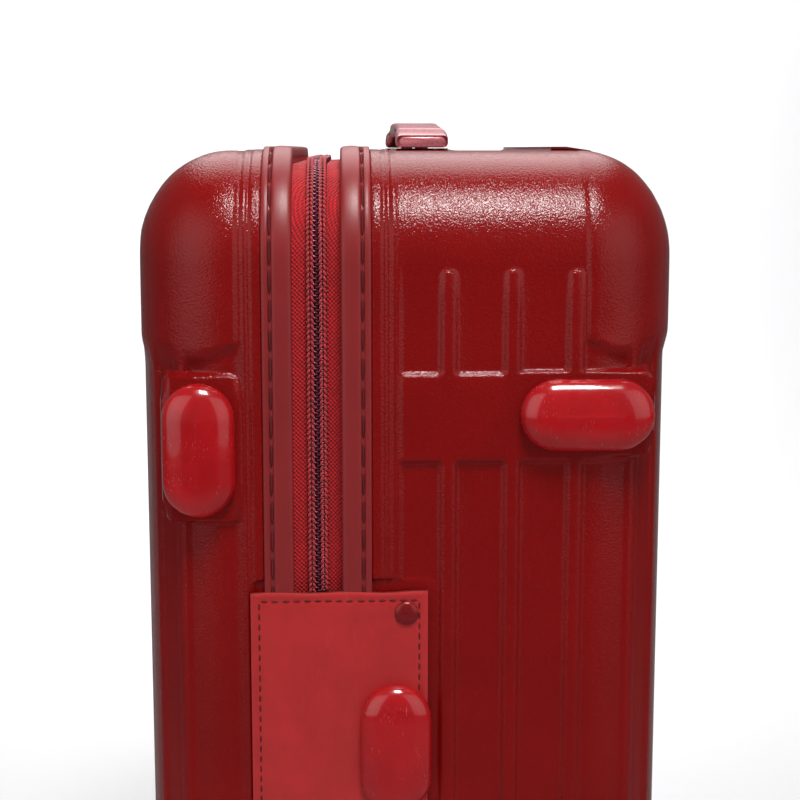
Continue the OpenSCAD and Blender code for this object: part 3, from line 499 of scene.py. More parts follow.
CLOTH = {
    "lining": finish("lining_cloth", colour(72, 66, 72), 0.8, grain=(0.0006, 0.00004), drift=(0.88, 1.1, 0.05),
                     weave=(0.0007, 0.00012, 0.7), Sheen_Weight=0.35, Sheen_Roughness=0.4),
    "pocket": finish("pocket_mesh_cloth", colour(46, 43, 48), 0.85, grain=(0.0006, 0.00004), drift=(0.85, 1.1, 0.04),
                     weave=(0.0016, 0.0004, 0.35), Sheen_Weight=0.3),
    "piping": finish("lining_piping", colour(108, 24, 30), 0.6, grain=(0.0004, 0.00004), drift=(0.85, 1.15, 0.01)),
}
print(len(bpy.data.materials), "finishes so far")

# %% [markdown]
# White paper all round would draw a white line along every glossy edge of the case. In a studio, black cards beside
# the case keep those edges dark. Here one node does it: the paper is only a fifth as pale to a ray that comes off
# something shiny, and stays white to the camera.

# %% Studio paper, and the paint of the numbers
WHITE = finish("studio_paper", colour(244, 244, 245), 0.9, grain=(0.01, 0.00002), drift=(0.99, 1.0, 1.2))
CARD_DARKNESS = 0.8
paper = WHITE.node_tree
paper_colour = paper.nodes["Principled BSDF"].inputs["Base Color"]
paper_tone = paper_colour.links[0].from_socket
mirrored_ray = paper.nodes.new("ShaderNodeLightPath").outputs["Is Glossy Ray"]
darkened = remap(paper, mirrored_ray, 0.0, 1.0, 0.0, CARD_DARKNESS)
paper.links.new(blend_colours(paper, darkened, paper_tone, colour(0, 0, 0)), paper_colour)
PRINT = finish("number_paint", colour(235, 232, 226), 0.5, grain=(0.0005, 0.000005), drift=(0.95, 1.0, 0.01))
backdrop.data.materials.append(WHITE)
print(WHITE.name, "is on", backdrop.name, "and", PRINT.name, "is for the dials")

# %% [markdown]
# ## The shells: a grid that knows where the features are
#
# A vacuum-formed shell is one thin sheet pressed into a mould: ribs, bands and pads are all pushed out of the same
# surface. Sculpting or booleans would be slow to change. Instead the shell is a grid of points on a plain rounded
# cup, and one height function moves each point in or out. The grid lines are packed closely only where an edge
# runs, so the bends stay crisp and the flat parts stay light.

# %% Grid lines that crowd together at the edges
def soft_step(value, low, high):
    share = np.clip((value - low) / (high - low), 0, 1)
    return share * share * (3 - 2 * share)


END_ROOM, CLOSEST = 0.2, 0.35        # mm kept free at the ends, and between two lines of a cluster


def graded(start, end, marks, coarse, offsets=(-1.8, -1.0, -0.3, 0.3, 1.0, 1.8)):
    """Positions from start to end: evenly spaced, with a cluster at each mark."""
    even = np.linspace(start, end, max(2, int(round((end - start) / coarse)) + 1))
    close = [m + o for m in marks for o in offsets if start + END_ROOM < m + o < end - END_ROOM]
    kept = [start]
    for value in sorted(set(close)):
        if value - kept[-1] > CLOSEST:
            kept.append(value)
    for value in even:
        if min(abs(value - k) for k in kept) > coarse * 0.45:
            kept.append(value)
    if min(abs(end - k) for k in kept) > 1e-6:
        kept.append(end)
    return np.array(sorted(kept))


print("a rib edge at 5:", graded(0, 10, [5], 4))

# %% [markdown]
# The pattern of the mould comes next, in one half's frame. Ribs stand 26.4 mm apart. A raised band joins their
# upper parts level with the side feet, and the corners have smooth caps that stand a little higher. Below, the
# panels between the ribs are sunk. The pattern is the same at both ends of the case.

# %% Where the mould's features are
RIB_HALF = 3.2
SIDE_RIBS = {1: (16.5, 43.0, 69.3), -1: ()}
TURN_RIBS = (95.6, 108.0)
FACE_RIBS = (0.0, 26.4, 52.8, 79.2, 105.6, 132.0, 156.0)
RIB_START, BAND_START, BAND_END, CAP_END = 49.0, 92.0, 129.0, 86.0
CAP_INNER = {1: 73.5, -1: 70.0}      # depth at which a corner cap starts
PAD_OUT = 3.0
FEET = {1: dict(y=74.0, e=109.0, half_y=28.0, half_e=15.0), -1: dict(y=87.0, e=123.0, half_y=15.0, half_e=28.0)}
FLAP_HALF = 68.0
RECESS = {1: 50.0, -1: 28.5}         # reach of the sunk field for the flap, from the zip plane
FIELD_ROOM = 5.0                     # from the flap to the edge of its field
LOCK_Y, LOCK_HALF, LOCK_LIP = (-13.0, 17.0), 42.0, 1.5
SIDE_GRIP_Y, TOP_GRIP_Y, GUIDE_AT, GUIDE_HALF = 43.0, 10.0, 88.0, 15.0
WELL_HALF_X, WELL_Y, WELL_LIP = 104.0, (76.0, 100.0), 9.0
BEADS = ((22.6, 27.2, 0.75), (28.6, 30.6, 0.6), (31.2, 33.0, -0.35))    # start, end and height, beside the welt
BEAD_SOFT = 0.9

# Heights over the plain cup, in mm. Below zero is sunk.
RIB_LEVEL, PANEL_LEVEL, TOP_LEVEL, STRIP_LEVEL, FIELD_LEVEL, SEAT_LEVEL = -0.1, -2.1, -0.9, -0.9, -1.7, -0.05
RIB_SOFT, BAND_SOFT, FIELD_SOFT, SEAT_SOFT = 3.2, 3.0, 1.6, 2.4
BEYOND_RIM, BEYOND_END = -60, 2000   # marks that lie off the shell, for masks that have no edge there


def rounding_arc(angle):
    """Length along the rounding from the side up to an angle."""
    steps = np.linspace(0, 1, 60)[:, None] * np.atleast_1d(angle)[None, :]
    speed = np.hypot(ROUND * np.cos(steps), CORNER * np.sin(steps))
    return ((speed[1:] + speed[:-1]) / 2 * np.diff(steps, axis=0)).sum(axis=0)


FULL_ARC = float(rounding_arc(math.pi / 2)[0])
FLAT_END = FACE_Y - ROUND
turn_places = [FLAT_END + float(rounding_arc(math.asin((y - FLAT_END) / ROUND))[0]) for y in TURN_RIBS]
face_places = [FLAT_END + FULL_ARC + CORE_W - x for x in FACE_RIBS]
print("ribs round the corner at", [round(p, 1) for p in turn_places], "along the wall")

# %% Soft shapes to build the pattern from
def box_mask(u, v, u0, u1, v0, v1, radius, soft):
    """1 inside a rounded rectangle and 0 outside, with a soft edge."""
    du = np.abs(u - (u0 + u1) / 2) - (u1 - u0) / 2 + radius
    dv = np.abs(v - (v0 + v1) / 2) - (v1 - v0) / 2 + radius
    away = np.hypot(np.maximum(du, 0), np.maximum(dv, 0)) + np.minimum(np.maximum(du, dv), 0) - radius
    return 1 - soft_step(away, -soft / 2, soft / 2)


def seat_mask(u, v, u_middle, v_middle, half_u, half_v):
    """The raised seat of a handle's guide."""
    return box_mask(u, v, u_middle - half_u, u_middle + half_u, v_middle - half_v, v_middle + half_v, 5, SEAT_SOFT)


def rim_relief(w):
    """The beads beside the welt, by distance from the zip plane."""
    return sum(height * soft_step(w, start - BEAD_SOFT, start + BEAD_SOFT)
               * (1 - soft_step(w, end - BEAD_SOFT, end + BEAD_SOFT)) for start, end, height in BEADS)


def relief(side, x, z, depth, along):
    """Height of the shell over its plain form, in mm. along is the length along the wall from the rim's plane."""
    end = HALF_H - np.abs(z)
    hinge = x > 0
    on_wall = np.abs(x) > CORE_W + 1
    turned = soft_step(along, FLAT_END, FLAT_END + FULL_ARC)
    w = depth - ZIP[side]
    rib_level, panel_level = RIB_LEVEL - 1.0 * turned, PANEL_LEVEL - 0.4 * turned
    top_level = TOP_LEVEL - 0.5 * turned
    ribs = np.zeros_like(along)
    places = list(SIDE_RIBS[side]) + turn_places + face_places
    for place in places:
        rib = box_mask(along, end, place - RIB_HALF, place + RIB_HALF, RIB_START, BEYOND_END, RIB_HALF, RIB_SOFT)
        ribs = np.maximum(ribs, rib)
    sunk = soft_step(end, RIB_START - 14, RIB_START + 24)
    floor = top_level + (panel_level - top_level) * sunk
    height = floor + (rib_level - floor) * ribs
    # the band on the rear half, and the plain strip beside the rim beads
    if side > 0:
        band = box_mask(along, end, BEYOND_RIM, FLAT_END + 30, BAND_START, BAND_END, 5, BAND_SOFT)
        height = height + (rib_level - height) * band * (1 - turned)
    strip = (1 - soft_step(w, 33.5, 36.0)) if side > 0 else (1 - soft_step(w, 31.0, 34.5))
    height = height + (STRIP_LEVEL - height) * strip
    # corner caps
    crease = CAP_END - 7 + 7 * soft_step(depth, 72, 92) if side > 0 else CAP_END - 6 + 8 * soft_step(depth, 66, 92)
    inner = CAP_INNER[side]
    blunt = 7.0 * soft_step(depth, 84, 104)
    cap = (soft_step(depth, inner - 1.6, inner + 2.4) * soft_step(np.abs(x), 150, 157)
           * (1 - soft_step(end, crease - 3.5 - blunt, crease + 2.0 + blunt / 2)))
    swell = 0.25 * soft_step(end, 20, 60)
    height = height + (swell - height) * cap
    # the shallow dimple under the rear half's cap
    from_cap, from_end = depth - 80, end - 72
    dimple = np.exp(-((from_cap * 0.9 + from_end * 0.35) / 5.5) ** 2 - ((from_end - from_cap * 0.4) / 7.0) ** 2)
    height = height - (1.1 * dimple * on_wall if side > 0 else 0)
    # fields for the flap, the lock, the handles' guides and the telescope's lip
    field_half = FLAP_HALF + FIELD_ROOM
    field = box_mask(w, z, BEYOND_RIM, RECESS[side], -field_half, field_half, 5, FIELD_SOFT) * hinge * on_wall
    height = height + (FIELD_LEVEL - height) * field
    if side > 0:
        lock_half = LOCK_HALF + LOCK_LIP
        lock = box_mask(depth, z, LOCK_Y[0] - LOCK_LIP, LOCK_Y[1] + LOCK_LIP, -lock_half, lock_half, 8, 2.0)
        guides = sum(seat_mask(depth, z, SIDE_GRIP_Y, s * GUIDE_AT, 14, GUIDE_HALF) for s in (-1, 1))
        level = np.clip(lock + guides, 0, 1) * (~hinge) * on_wall
        on_top = (z > CORE_H + CORNER - 3)
        top_guides = sum(seat_mask(x, depth, s * GUIDE_AT, TOP_GRIP_Y, 12, GUIDE_HALF) for s in (-1, 1))
        lip_half = WELL_HALF_X + WELL_LIP
        lip = box_mask(x, depth, -lip_half, lip_half, WELL_Y[0] - WELL_LIP, WELL_Y[1] + WELL_LIP, 4, SEAT_SOFT)
        level = np.maximum(level, np.clip(top_guides + lip, 0, 1) * on_top)
        height = height + (SEAT_LEVEL - height) * level
    return height + rim_relief(w) * (1 - field)


print("panel against rib:", relief(1, np.array([195.0, 195]), np.array([0.0, 0]), np.array([16.5, 30]),
                                   np.array([16.5, 30.0])))

# %% [markdown]
# A column of the grid is a point of the case's outline, kept as the centre of its corner and a direction. A row is
# a depth, with the radius that is left there. Together they give every point of the wall and its outward
# direction. The flat middle of the face is a plain grid whose border is the last row.

# %% Columns round the outline
def outline_columns(zs, xs, corner_steps):
    """Columns (centre x, centre z, angle), starting low on the hinge side and running up."""
    quarter = np.linspace(0, math.pi / 2, corner_steps + 2)[1:-1]
    columns = [(CORE_W, z, 0.0) for z in zs]
    columns += [(CORE_W, CORE_H, a) for a in quarter]
    columns += [(x, CORE_H, math.pi / 2) for x in xs[::-1]]
    columns += [(-CORE_W, CORE_H, math.pi / 2 + a) for a in quarter]
    columns += [(-CORE_W, z, math.pi) for z in zs[::-1]]
    columns += [(-CORE_W, -CORE_H, math.pi + a) for a in quarter]
    columns += [(x, -CORE_H, 1.5 * math.pi) for x in xs]
    columns += [(CORE_W, -CORE_H, 1.5 * math.pi + a) for a in quarter]
    return np.array(columns)


def mirrored(marks):
    return sorted({round(s * m, 3) for m in marks for s in (-1, 1)})


def shell_lines(side):
    """Positions of the grid lines up the case, across it, and from its rim to its face."""
    ends = [RIB_START, CAP_END - 7, CAP_END, BAND_START, BAND_END]
    ends += [FEET[side]["e"] - FEET[side]["half_e"] - PAD_OUT, FEET[side]["e"] + FEET[side]["half_e"] + PAD_OUT]
    z_marks = mirrored([HALF_H - e for e in ends] + [FLAP_HALF + FIELD_ROOM])
    if side > 0:
        z_marks += mirrored([LOCK_HALF + LOCK_LIP, GUIDE_AT - GUIDE_HALF, GUIDE_AT + GUIDE_HALF])
    zs = graded(-CORE_H, CORE_H, z_marks, 7.0)
    x_marks = mirrored([x + s * RIB_HALF for x in FACE_RIBS[:-1] for s in (-1, 1)])
    xs = graded(-CORE_W, CORE_W, x_marks, 7.0, (-1.4, -0.5, 0.5, 1.4))
    pad = FEET[side]
    depth_marks = [ZIP[side] + w for w in (22.6, 24.2, 26.7, 28.0, 28.9, 30.4, 31.2, 33.3, 35.4)]
    depth_marks += [y + s * RIB_HALF for y in SIDE_RIBS[side] for s in (-1, 1)]
    depth_marks += [CAP_INNER[1], pad["y"] - pad["half_y"] - PAD_OUT, ZIP[side] + RECESS[side]]
    flat = graded(ZIP[side] + RIM_GAP, FLAT_END, depth_marks, 4.0)
    turn_marks = [y + s * RIB_HALF for y in TURN_RIBS for s in (-1, 1)] + [pad["y"] + pad["half_y"] + PAD_OUT]
    turned = graded(FLAT_END + 1.2, FACE_Y - 0.15, turn_marks, 2.6)
    return zs, xs, flat, turned


for side in (1, -1):
    zs, xs, flat, turned = shell_lines(side)
    print(HALF_NAME[side], "grid:", len(zs), "up,", len(xs), "across,", len(flat) + len(turned), "deep")

# %% Points of one shell
def pad_share(side, x, z, depth):
    """How far a point is drawn out to the flat pad under a foot."""
    pad = FEET[side]
    end = HALF_H - np.abs(z)
    return box_mask(depth, end, pad["y"] - pad["half_y"] - PAD_OUT, pad["y"] + pad["half_y"] + PAD_OUT,
                    pad["e"] - pad["half_e"] - PAD_OUT, pad["e"] + pad["half_e"] + PAD_OUT, 6, 1.8) * (x > 0)


def shell_points(side, zs, xs, flat, turned):
    """Outer points, directions and heights: first the wall's rows, then the face's grid."""
    columns = outline_columns(zs, xs, 14)
    angles = np.concatenate([np.zeros(len(flat)), np.arcsin((turned - FLAT_END) / ROUND)])
    depths = np.concatenate([flat, turned])
    radii = CORNER * np.cos(angles)
    along = np.where(angles > 0, FLAT_END + rounding_arc(angles), depths)
    out_share, deep_share = ROUND * np.cos(angles), CORNER * np.sin(angles)
    size = np.hypot(out_share, deep_share)
    cx, cz, theta = (columns[:, k][None, :] for k in range(3))
    x = cx + radii[:, None] * np.cos(theta)
    z = cz + radii[:, None] * np.sin(theta)
    normal = np.stack([out_share[:, None] / size[:, None] * np.cos(theta),
                       (deep_share / size)[:, None] + 0 * theta,
                       out_share[:, None] / size[:, None] * np.sin(theta)], -1)
    depth = depths[:, None] + 0 * theta
    height = relief(side, x, z, depth, along[:, None] + 0 * theta)
    wall = np.stack([x, depth, z], -1) + normal * height[..., None]
    drawn = pad_share(side, x, z, depth) * (np.abs(np.cos(theta)) > 0.999)
    wall[..., 0] += drawn * (HALF_W - 0.02 - wall[..., 0])
    fx, fz = np.meshgrid(xs, zs)
    flat_along = FLAT_END + FULL_ARC + CORE_W - np.abs(fx)
    face_height = relief(side, fx, fz, np.full_like(fx, FACE_Y), flat_along)
    face = np.stack([fx, FACE_Y + face_height, fz], -1)
    up = np.zeros_like(face)
    up[..., 1] = 1
    return columns, wall, normal, face, up


# %% [markdown]
# The sheet gets its thickness by repeating the same grid a little further in and joining the two along the rim and
# round the openings. The rear shell is open at the telescope's tray and behind the lock.

# %% One thin-walled shell as a mesh
SHEET = 1.9
TRAY_LAP, LOCK_LAP = 1.0, 4.0        # how far the sheet reaches under the tray's lip and the lock's plate


def build_shell(side):
    zs, xs, flat, turned = shell_lines(side)
    columns, wall, normal, face, up = shell_points(side, zs, xs, flat, turned)
    rows, count = wall.shape[:2]
    outer = np.concatenate([wall.reshape(-1, 3), face.reshape(-1, 3)])
    inward = np.concatenate([normal.reshape(-1, 3), up.reshape(-1, 3)])
    face_at = rows * count
    z_index = {round(z, 6): k for k, z in enumerate(zs)}
    x_index = {round(x, 6): k for k, x in enumerate(xs)}
    core = [face_at + z_index[round(cz, 6)] * len(xs) + x_index[round(cx, 6)] for cx, cz, _ in columns]
    quads = []
    middle = (wall[:-1, :, :] + wall[1:, :, :]) / 2
    middle = (middle + np.roll(middle, -1, axis=1)) / 2
    theta = columns[:, 2]
    tray = ((np.abs(middle[..., 0]) < WELL_HALF_X - TRAY_LAP) & (middle[..., 1] > WELL_Y[0] + TRAY_LAP)
            & (middle[..., 1] < WELL_Y[1] - TRAY_LAP) & (np.abs(theta - math.pi / 2) < 1e-6)[None, :])
    lock = ((middle[..., 1] > LOCK_Y[0] + LOCK_LAP) & (middle[..., 1] < LOCK_Y[1] - LOCK_LAP)
            & (np.abs(middle[..., 2]) < LOCK_HALF - LOCK_LAP) & (np.abs(theta - math.pi) < 1e-6)[None, :])
    open_cells = (tray | lock) if side > 0 else np.zeros_like(tray)
    for k in range(rows - 1):
        for m in range(count):
            if not open_cells[k, m]:
                n = (m + 1) % count
                quads.append((k * count + m, k * count + n, (k + 1) * count + n, (k + 1) * count + m))
    last = (rows - 1) * count
    for m in range(count):
        n = (m + 1) % count
        ring = [last + m, last + n, core[n], core[m]]
        quads.append(tuple(ring if core[n] != core[m] else ring[:3]))
    for j in range(len(zs) - 1):
        for i in range(len(xs) - 1):
            a = face_at + j * len(xs) + i
            quads.append((a, a + 1, a + len(xs) + 1, a + len(xs)))
    edges = {}
    for quad in quads:
        for a, b in zip(quad, quad[1:] + quad[:1]):
            edges[(a, b)] = edges.get((a, b), 0) + 1
    total = len(outer)
    border = [(a, b) for a, b in edges if (b, a) not in edges]
    skins = quads + [tuple(total + v for v in reversed(quad)) for quad in quads]
    skins += [(b, a, total + a, total + b) for a, b in border]
    points = np.concatenate([outer, outer - inward * SHEET])
    points[:, 1] *= side
    points[:, 0] += SHELL_X
    points[:, 2] += SHELL_Z
    obj = new_mesh(f"{HALF_NAME[side]}_ribbed_shell", points, skins)
    recalculated(obj)
    crease(obj, 62)
    obj.data.materials.append(RED["shell"])
    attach(obj, BODY[side])
    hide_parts(f"{HALF_NAME[side]}_shell")
    return obj


shells = {side: build_shell(side) for side in (1, -1)}
for shell in shells.values():
    print(shell.name, len(shell.data.polygons), "faces")

# %% [markdown]
# ## Welts: a profile swept round the outline
#
# The welt is a soft plastic channel that grips the shell's edge. It has a flat lap, a groove for the stitches, and a
# rounded nose that leans over the zip. A swept section is the natural way to make it: one profile, repeated at
# every column of the same outline that the shell uses.

# %% Sweeping a closed profile round the case
SWEEP_STEP, SWEEP_CORNER = 6.0, 18   # mm between columns on a straight, and columns in a corner
sweep_zs = np.linspace(-CORE_H, CORE_H, int(2 * CORE_H / SWEEP_STEP) + 1)
sweep_xs = np.linspace(-CORE_W, CORE_W, int(2 * CORE_W / SWEEP_STEP) + 1)
SWEEP_COLUMNS = outline_columns(sweep_zs, sweep_xs, SWEEP_CORNER)


def sweep(name, side, profile, material):
    """profile is a list of (distance from the zip plane, height over the shell)."""
    profile = np.asarray(profile, float)
    cx, cz, theta = (SWEEP_COLUMNS[:, k][None, :] for k in range(3))
    radius = CORNER + profile[:, 1][:, None]
    x = SHELL_X + cx + radius * np.cos(theta)
    z = SHELL_Z + cz + radius * np.sin(theta)
    y = side * (ZIP[side] + profile[:, 0][:, None] + 0 * theta)
    rows, count = x.shape
    faces = []
    for k in range(rows):
        for m in range(count):
            a, b = k * count + m, k * count + (m + 1) % count
            c, d = (k + 1) % rows * count + (m + 1) % count, (k + 1) % rows * count + m
            faces.append((a, b, c, d) if side > 0 else (d, c, b, a))
    obj = new_mesh(name, np.stack([x, y, z], -1).reshape(-1, 3), faces)
    crease(obj, 50)
    obj.data.materials.append(material)
    return obj


def bulge(w0, w1, h0, h1, rise, steps):
    """Points of a rounded swelling between two ends."""
    share = np.linspace(0, 1, steps)
    return [(w0 + (w1 - w0) * t, h0 + (h1 - h0) * t + rise * math.sin(math.pi * t) ** 0.8) for t in share]


WELT_PROFILE = (
    [(22.5, -0.3), (22.5, 0.75), (22.2, 1.05), (20.6, 1.15), (20.0, 1.05), (19.75, 0.5), (19.5, 0.32), (18.6, 0.32),
     (18.35, 0.55), (18.1, 1.0)]
    + bulge(17.7, 11.2, 1.22, 1.05, 0.28, 9)
    + [(10.5, 0.7), (10.05, 0.0), (9.95, -1.2), (10.05, -5.6), (10.6, -6.3), (15.8, -6.4), (15.9, -0.3)])
welts = {}
for side in (1, -1):
    welts[side] = sweep(f"{HALF_NAME[side]}_sewn_welt", side, WELT_PROFILE, RED["welt"])
    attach(welts[side], BODY[side])
    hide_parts(f"{HALF_NAME[side]}_welt")
    print(welts[side].name, len(welts[side].data.polygons), "faces")

# %% [markdown]
# Stitches lie in the groove end to end. Each is a small cylinder with tapered ends that dips where the needle went
# in. Making one and repeating it along the outline is quicker than a curve with a bevel, and each stitch can
# still differ a little.

# %% Stitches along the welts
rng = np.random.default_rng(11)


def outline_length():
    return 4 * (CORE_W + CORE_H) + 2 * math.pi * CORNER


def outline_at(distance, height):
    """Point, outward direction and forward direction on the outline at a distance from the middle of the hinge side."""
    arc = math.pi / 2 * CORNER
    legs = [("z", CORE_H), ("c", 0), ("x", 2 * CORE_W), ("c", 1), ("z", 2 * CORE_H), ("c", 2), ("x", 2 * CORE_W),
            ("c", 3), ("z", CORE_H)]
    distance = distance % outline_length()
    starts = {0: (CORE_W, 0.0, 0.0), 2: (CORE_W, CORE_H, 0.5), 4: (-CORE_W, CORE_H, 1.0), 6: (-CORE_W, -CORE_H, 1.5),
              8: (CORE_W, -CORE_H, 0.0)}
    corners = [(CORE_W, CORE_H), (-CORE_W, CORE_H), (-CORE_W, -CORE_H), (CORE_W, -CORE_H)]
    for k, (kind, value) in enumerate(legs):
        length = arc if kind == "c" else value
        if distance <= length or k == len(legs) - 1:
            break
        distance -= length
    if kind == "c":
        theta = (value + distance / arc) * math.pi / 2
        cx, cz = corners[value]
    else:
        cx, cz, turns = starts[k]
        theta = turns * math.pi
        cx, cz = cx - distance * math.sin(theta), cz + distance * math.cos(theta)
    out = np.array([math.cos(theta), 0, math.sin(theta)])
    ahead = np.array([-math.sin(theta), 0, math.cos(theta)])
    return np.array([cx, 0, cz]) + (CORNER + height) * out, out, ahead


def spindle(length, radius, dip, sides=6, steps=7):
    """A stitch along X that dips at its ends: points and faces."""
    points = []
    for t in np.linspace(-1, 1, steps):
        thick = radius * (1 - 0.55 * abs(t) ** 3)
        for a in np.linspace(0, 2 * math.pi, sides, endpoint=False):
            points.append((t * length / 2, thick * math.cos(a), thick * math.sin(a) - dip * abs(t) ** 3))
    return np.array(points), ring_quads(steps, sides) + ring_caps(steps, sides)


def scatter(name, unit, places, material):
    """Repeats a unit (points, faces) at each place: (origin, along, across, out). Returns one object."""
    unit_points, unit_faces = unit
    points, faces = [], []
    for origin, along, across, out in places:
        start = len(points) * len(unit_points)
        points.append(origin + unit_points[:, :1] * along + unit_points[:, 1:2] * across + unit_points[:, 2:] * out)
        faces += [tuple(start + v for v in face) for face in unit_faces]
    obj = new_mesh(name, np.concatenate(points), faces)
    obj.data.materials.append(material)
    return obj


STITCH_PITCH, STITCH_W = 12.0, 19.05


def welt_stitches(side):
    count = round(outline_length() / STITCH_PITCH)
    places = []
    for k in range(count):
        origin, out, ahead = outline_at((k + 0.5) * outline_length() / count, 0.62 + rng.uniform(-0.06, 0.06))
        if origin[0] > CORE_W + 40 and abs(origin[2]) < FLAP_HALF - 6:
            continue
        tilt = rng.uniform(-0.03, 0.03)
        across = np.array([0, 1.0, 0])
        origin = origin + np.array([SHELL_X, side * (ZIP[side] + STITCH_W + rng.uniform(-0.1, 0.1)), SHELL_Z])
        places.append((origin, ahead + tilt * across, across - tilt * ahead, out))
    obj = scatter(f"{HALF_NAME[side]}_welt_stitches", spindle(10.9, 0.52, 0.6), places, RED["thread"])
    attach(obj, BODY[side])
    return obj


for side in (1, -1):
    stitches = welt_stitches(side)
    print(stitches.name, len(stitches.data.polygons), "faces")

# %% [markdown]
# ## The zip
#
# The tape is a woven strip that hangs between the welt and the teeth, so it is a thin sheet with a slight sag. The
# teeth are one long nylon coil: from above it reads as a ladder of small rungs that mesh in the middle, with a
# sewn cord on each side. Each rung is a short bent rod, repeated at the pitch of the real coil.

# %% Zip tapes
TAPE_IN, TAPE_T = 6.5, 0.55           # depth under the shell's surface, and thickness
TAPE_START, TAPE_END, TAPE_SAG = 1.2, 22.0, 0.35


def zip_tape(side):
    ws = np.linspace(TAPE_START, TAPE_END, 12)
    lift = -TAPE_IN - 0.1 + TAPE_SAG * np.sin(np.linspace(0, math.pi, 12))
    top = list(zip(ws, lift))
    under = [(w, h - TAPE_T) for w, h in top[::-1]]
    obj = sweep(f"{HALF_NAME[side]}_woven_tape", side, top + under, RED["tape"])
    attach(obj, BODY[side])
    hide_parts(f"{HALF_NAME[side]}_zip_tape")
    return obj


for side in (1, -1):
    tape = zip_tape(side)
    print(tape.name, "rides on", BODY[side])

# %% Zip teeth
COIL_PITCH, COIL_TOP = 2.3, 3.0


def rung(inner, outer, sides=6):
    """One loop of the coil, bent down at both ends: points along X (forward), Y (across), Z (out)."""
    path = [(0.0, outer, -2.2), (0.05, outer - 0.1, -0.9), (0.1, outer - 0.9, -0.25), (0.0, (inner + outer) / 2, 0.0),
            (-0.1, inner + 0.9, 0.05), (-0.15, inner + 0.2, -0.35), (-0.1, inner, -1.2)]
    radii = [0.5, 0.62, 0.66, 0.6, 0.62, 0.66, 0.5]
    points, faces = [], []
    for k, (p, r) in enumerate(zip(path, radii)):
        before, after = path[max(0, k - 1)], path[min(len(path) - 1, k + 1)]
        ahead = np.array(after) - np.array(before)
        ahead /= np.linalg.norm(ahead)
        side_way = np.cross(ahead, (1, 0, 0))
        side_way /= np.linalg.norm(side_way)
        for a in np.linspace(0, 2 * math.pi, sides, endpoint=False):
            points.append(np.array(p) + r * (math.cos(a) * np.array((1.0, 0, 0)) + math.sin(a) * side_way))
    for k in range(len(path) - 1):
        for m in range(sides):
            n = (m + 1) % sides
            faces.append((k * sides + m, (k + 1) * sides + m, (k + 1) * sides + n, k * sides + n))
    faces += [tuple(range(sides)), tuple((len(path) - 1) * sides + m for m in range(sides))[::-1]]
    return np.array(points), faces


def under_flap(origin):
    """True where the leather hides the zip, apart from a little at its ends."""
    return origin[0] > CORE_W + CORNER - 12 and abs(origin[2]) < FLAP_HALF - 1.5


def zip_teeth(side):
    length = outline_length() - 2 * math.pi * (TAPE_IN - COIL_TOP)
    count = round(length / COIL_PITCH)
    places = []
    for k in range(count):
        share = (k + (0.5 if side < 0 else 0.0)) / count
        origin, out, ahead = outline_at(share * outline_length(), -TAPE_IN + COIL_TOP - 0.75)
        if not under_flap(origin):
            origin = origin + np.array([SHELL_X, side * ZIP[side], SHELL_Z])
            places.append((origin, ahead, np.array([0, float(side), 0]), out))
    obj = scatter(f"{HALF_NAME[side]}_zip_teeth", rung(-0.55, 3.9), places, METAL["coil"])
    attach(obj, BODY[side])
    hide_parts(f"{HALF_NAME[side]}_zip_coil")
    return obj


for side in (1, -1):
    teeth = zip_teeth(side)
    print(teeth.name, len(teeth.data.polygons), "faces")

# %% [markdown]
# The coil is held to the tape by two rows of chain stitches. They sit over the outer half of the rungs as small
# plump loops, and they are the brightest red of the whole zip.

# %% Cords sewn over the coil
RED["cord"] = finish("zip_cord_thread", colour(190, 26, 34), 0.62, grain=(0.0003, 0.00004), drift=(0.75, 1.15, 0.003),
                     Sheen_Weight=0.3)


def zip_cords(side):
    length = outline_length() - 2 * math.pi * (TAPE_IN - COIL_TOP)
    count = round(length / COIL_PITCH)
    places = []
    for k in range(count):
        share = (k + (0.0 if side < 0 else 0.5)) / count
        for lane, lean in ((1.75, 0.35), (3.45, -0.35)):
            origin, out, ahead = outline_at(share * outline_length(), -TAPE_IN + COIL_TOP - 0.28 - 0.1 * (lane > 2))
            if under_flap(origin):
                continue
            across = np.array([0, float(side), 0])
            origin = origin + np.array([SHELL_X, side * ZIP[side], SHELL_Z]) + across * lane
            along = ahead + lean * across
            along /= np.linalg.norm(along)
            places.append((origin, along, np.cross(out, along), out))
    obj = scatter(f"{HALF_NAME[side]}_zip_cords", spindle(2.7, 0.55, 0.4, 6, 5), places, RED["cord"])
    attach(obj, BODY[side])
    return obj


for side in (1, -1):
    cords = zip_cords(side)
    print(cords.name, len(cords.data.polygons), "faces")

# %% [markdown]
# ## The leather hinge flap
#
# One piece of leather is the whole hinge: it is sewn to both shells and bends along the zip. A rigid board would
# split when the lid opens, so this is a single fine grid. It rises a little over the two welts and dips over the
# gap between them. Its hem is pressed down along the stitches.

# %% Leather flap
REAR_EDGE, FRONT_EDGE = ZIP[1] + 46.0, -ZIP[-1] - 28.5
FLAP_T, HEM = 1.6, 3.6


def border_of(rows, cols):
    """Numbers of the points round the edge of a grid, in order."""
    ring = list(range(cols)) + [j * cols + cols - 1 for j in range(1, rows)]
    return (ring + [(rows - 1) * cols + i for i in range(cols - 2, -1, -1)]
            + [j * cols for j in range(rows - 2, 0, -1)])


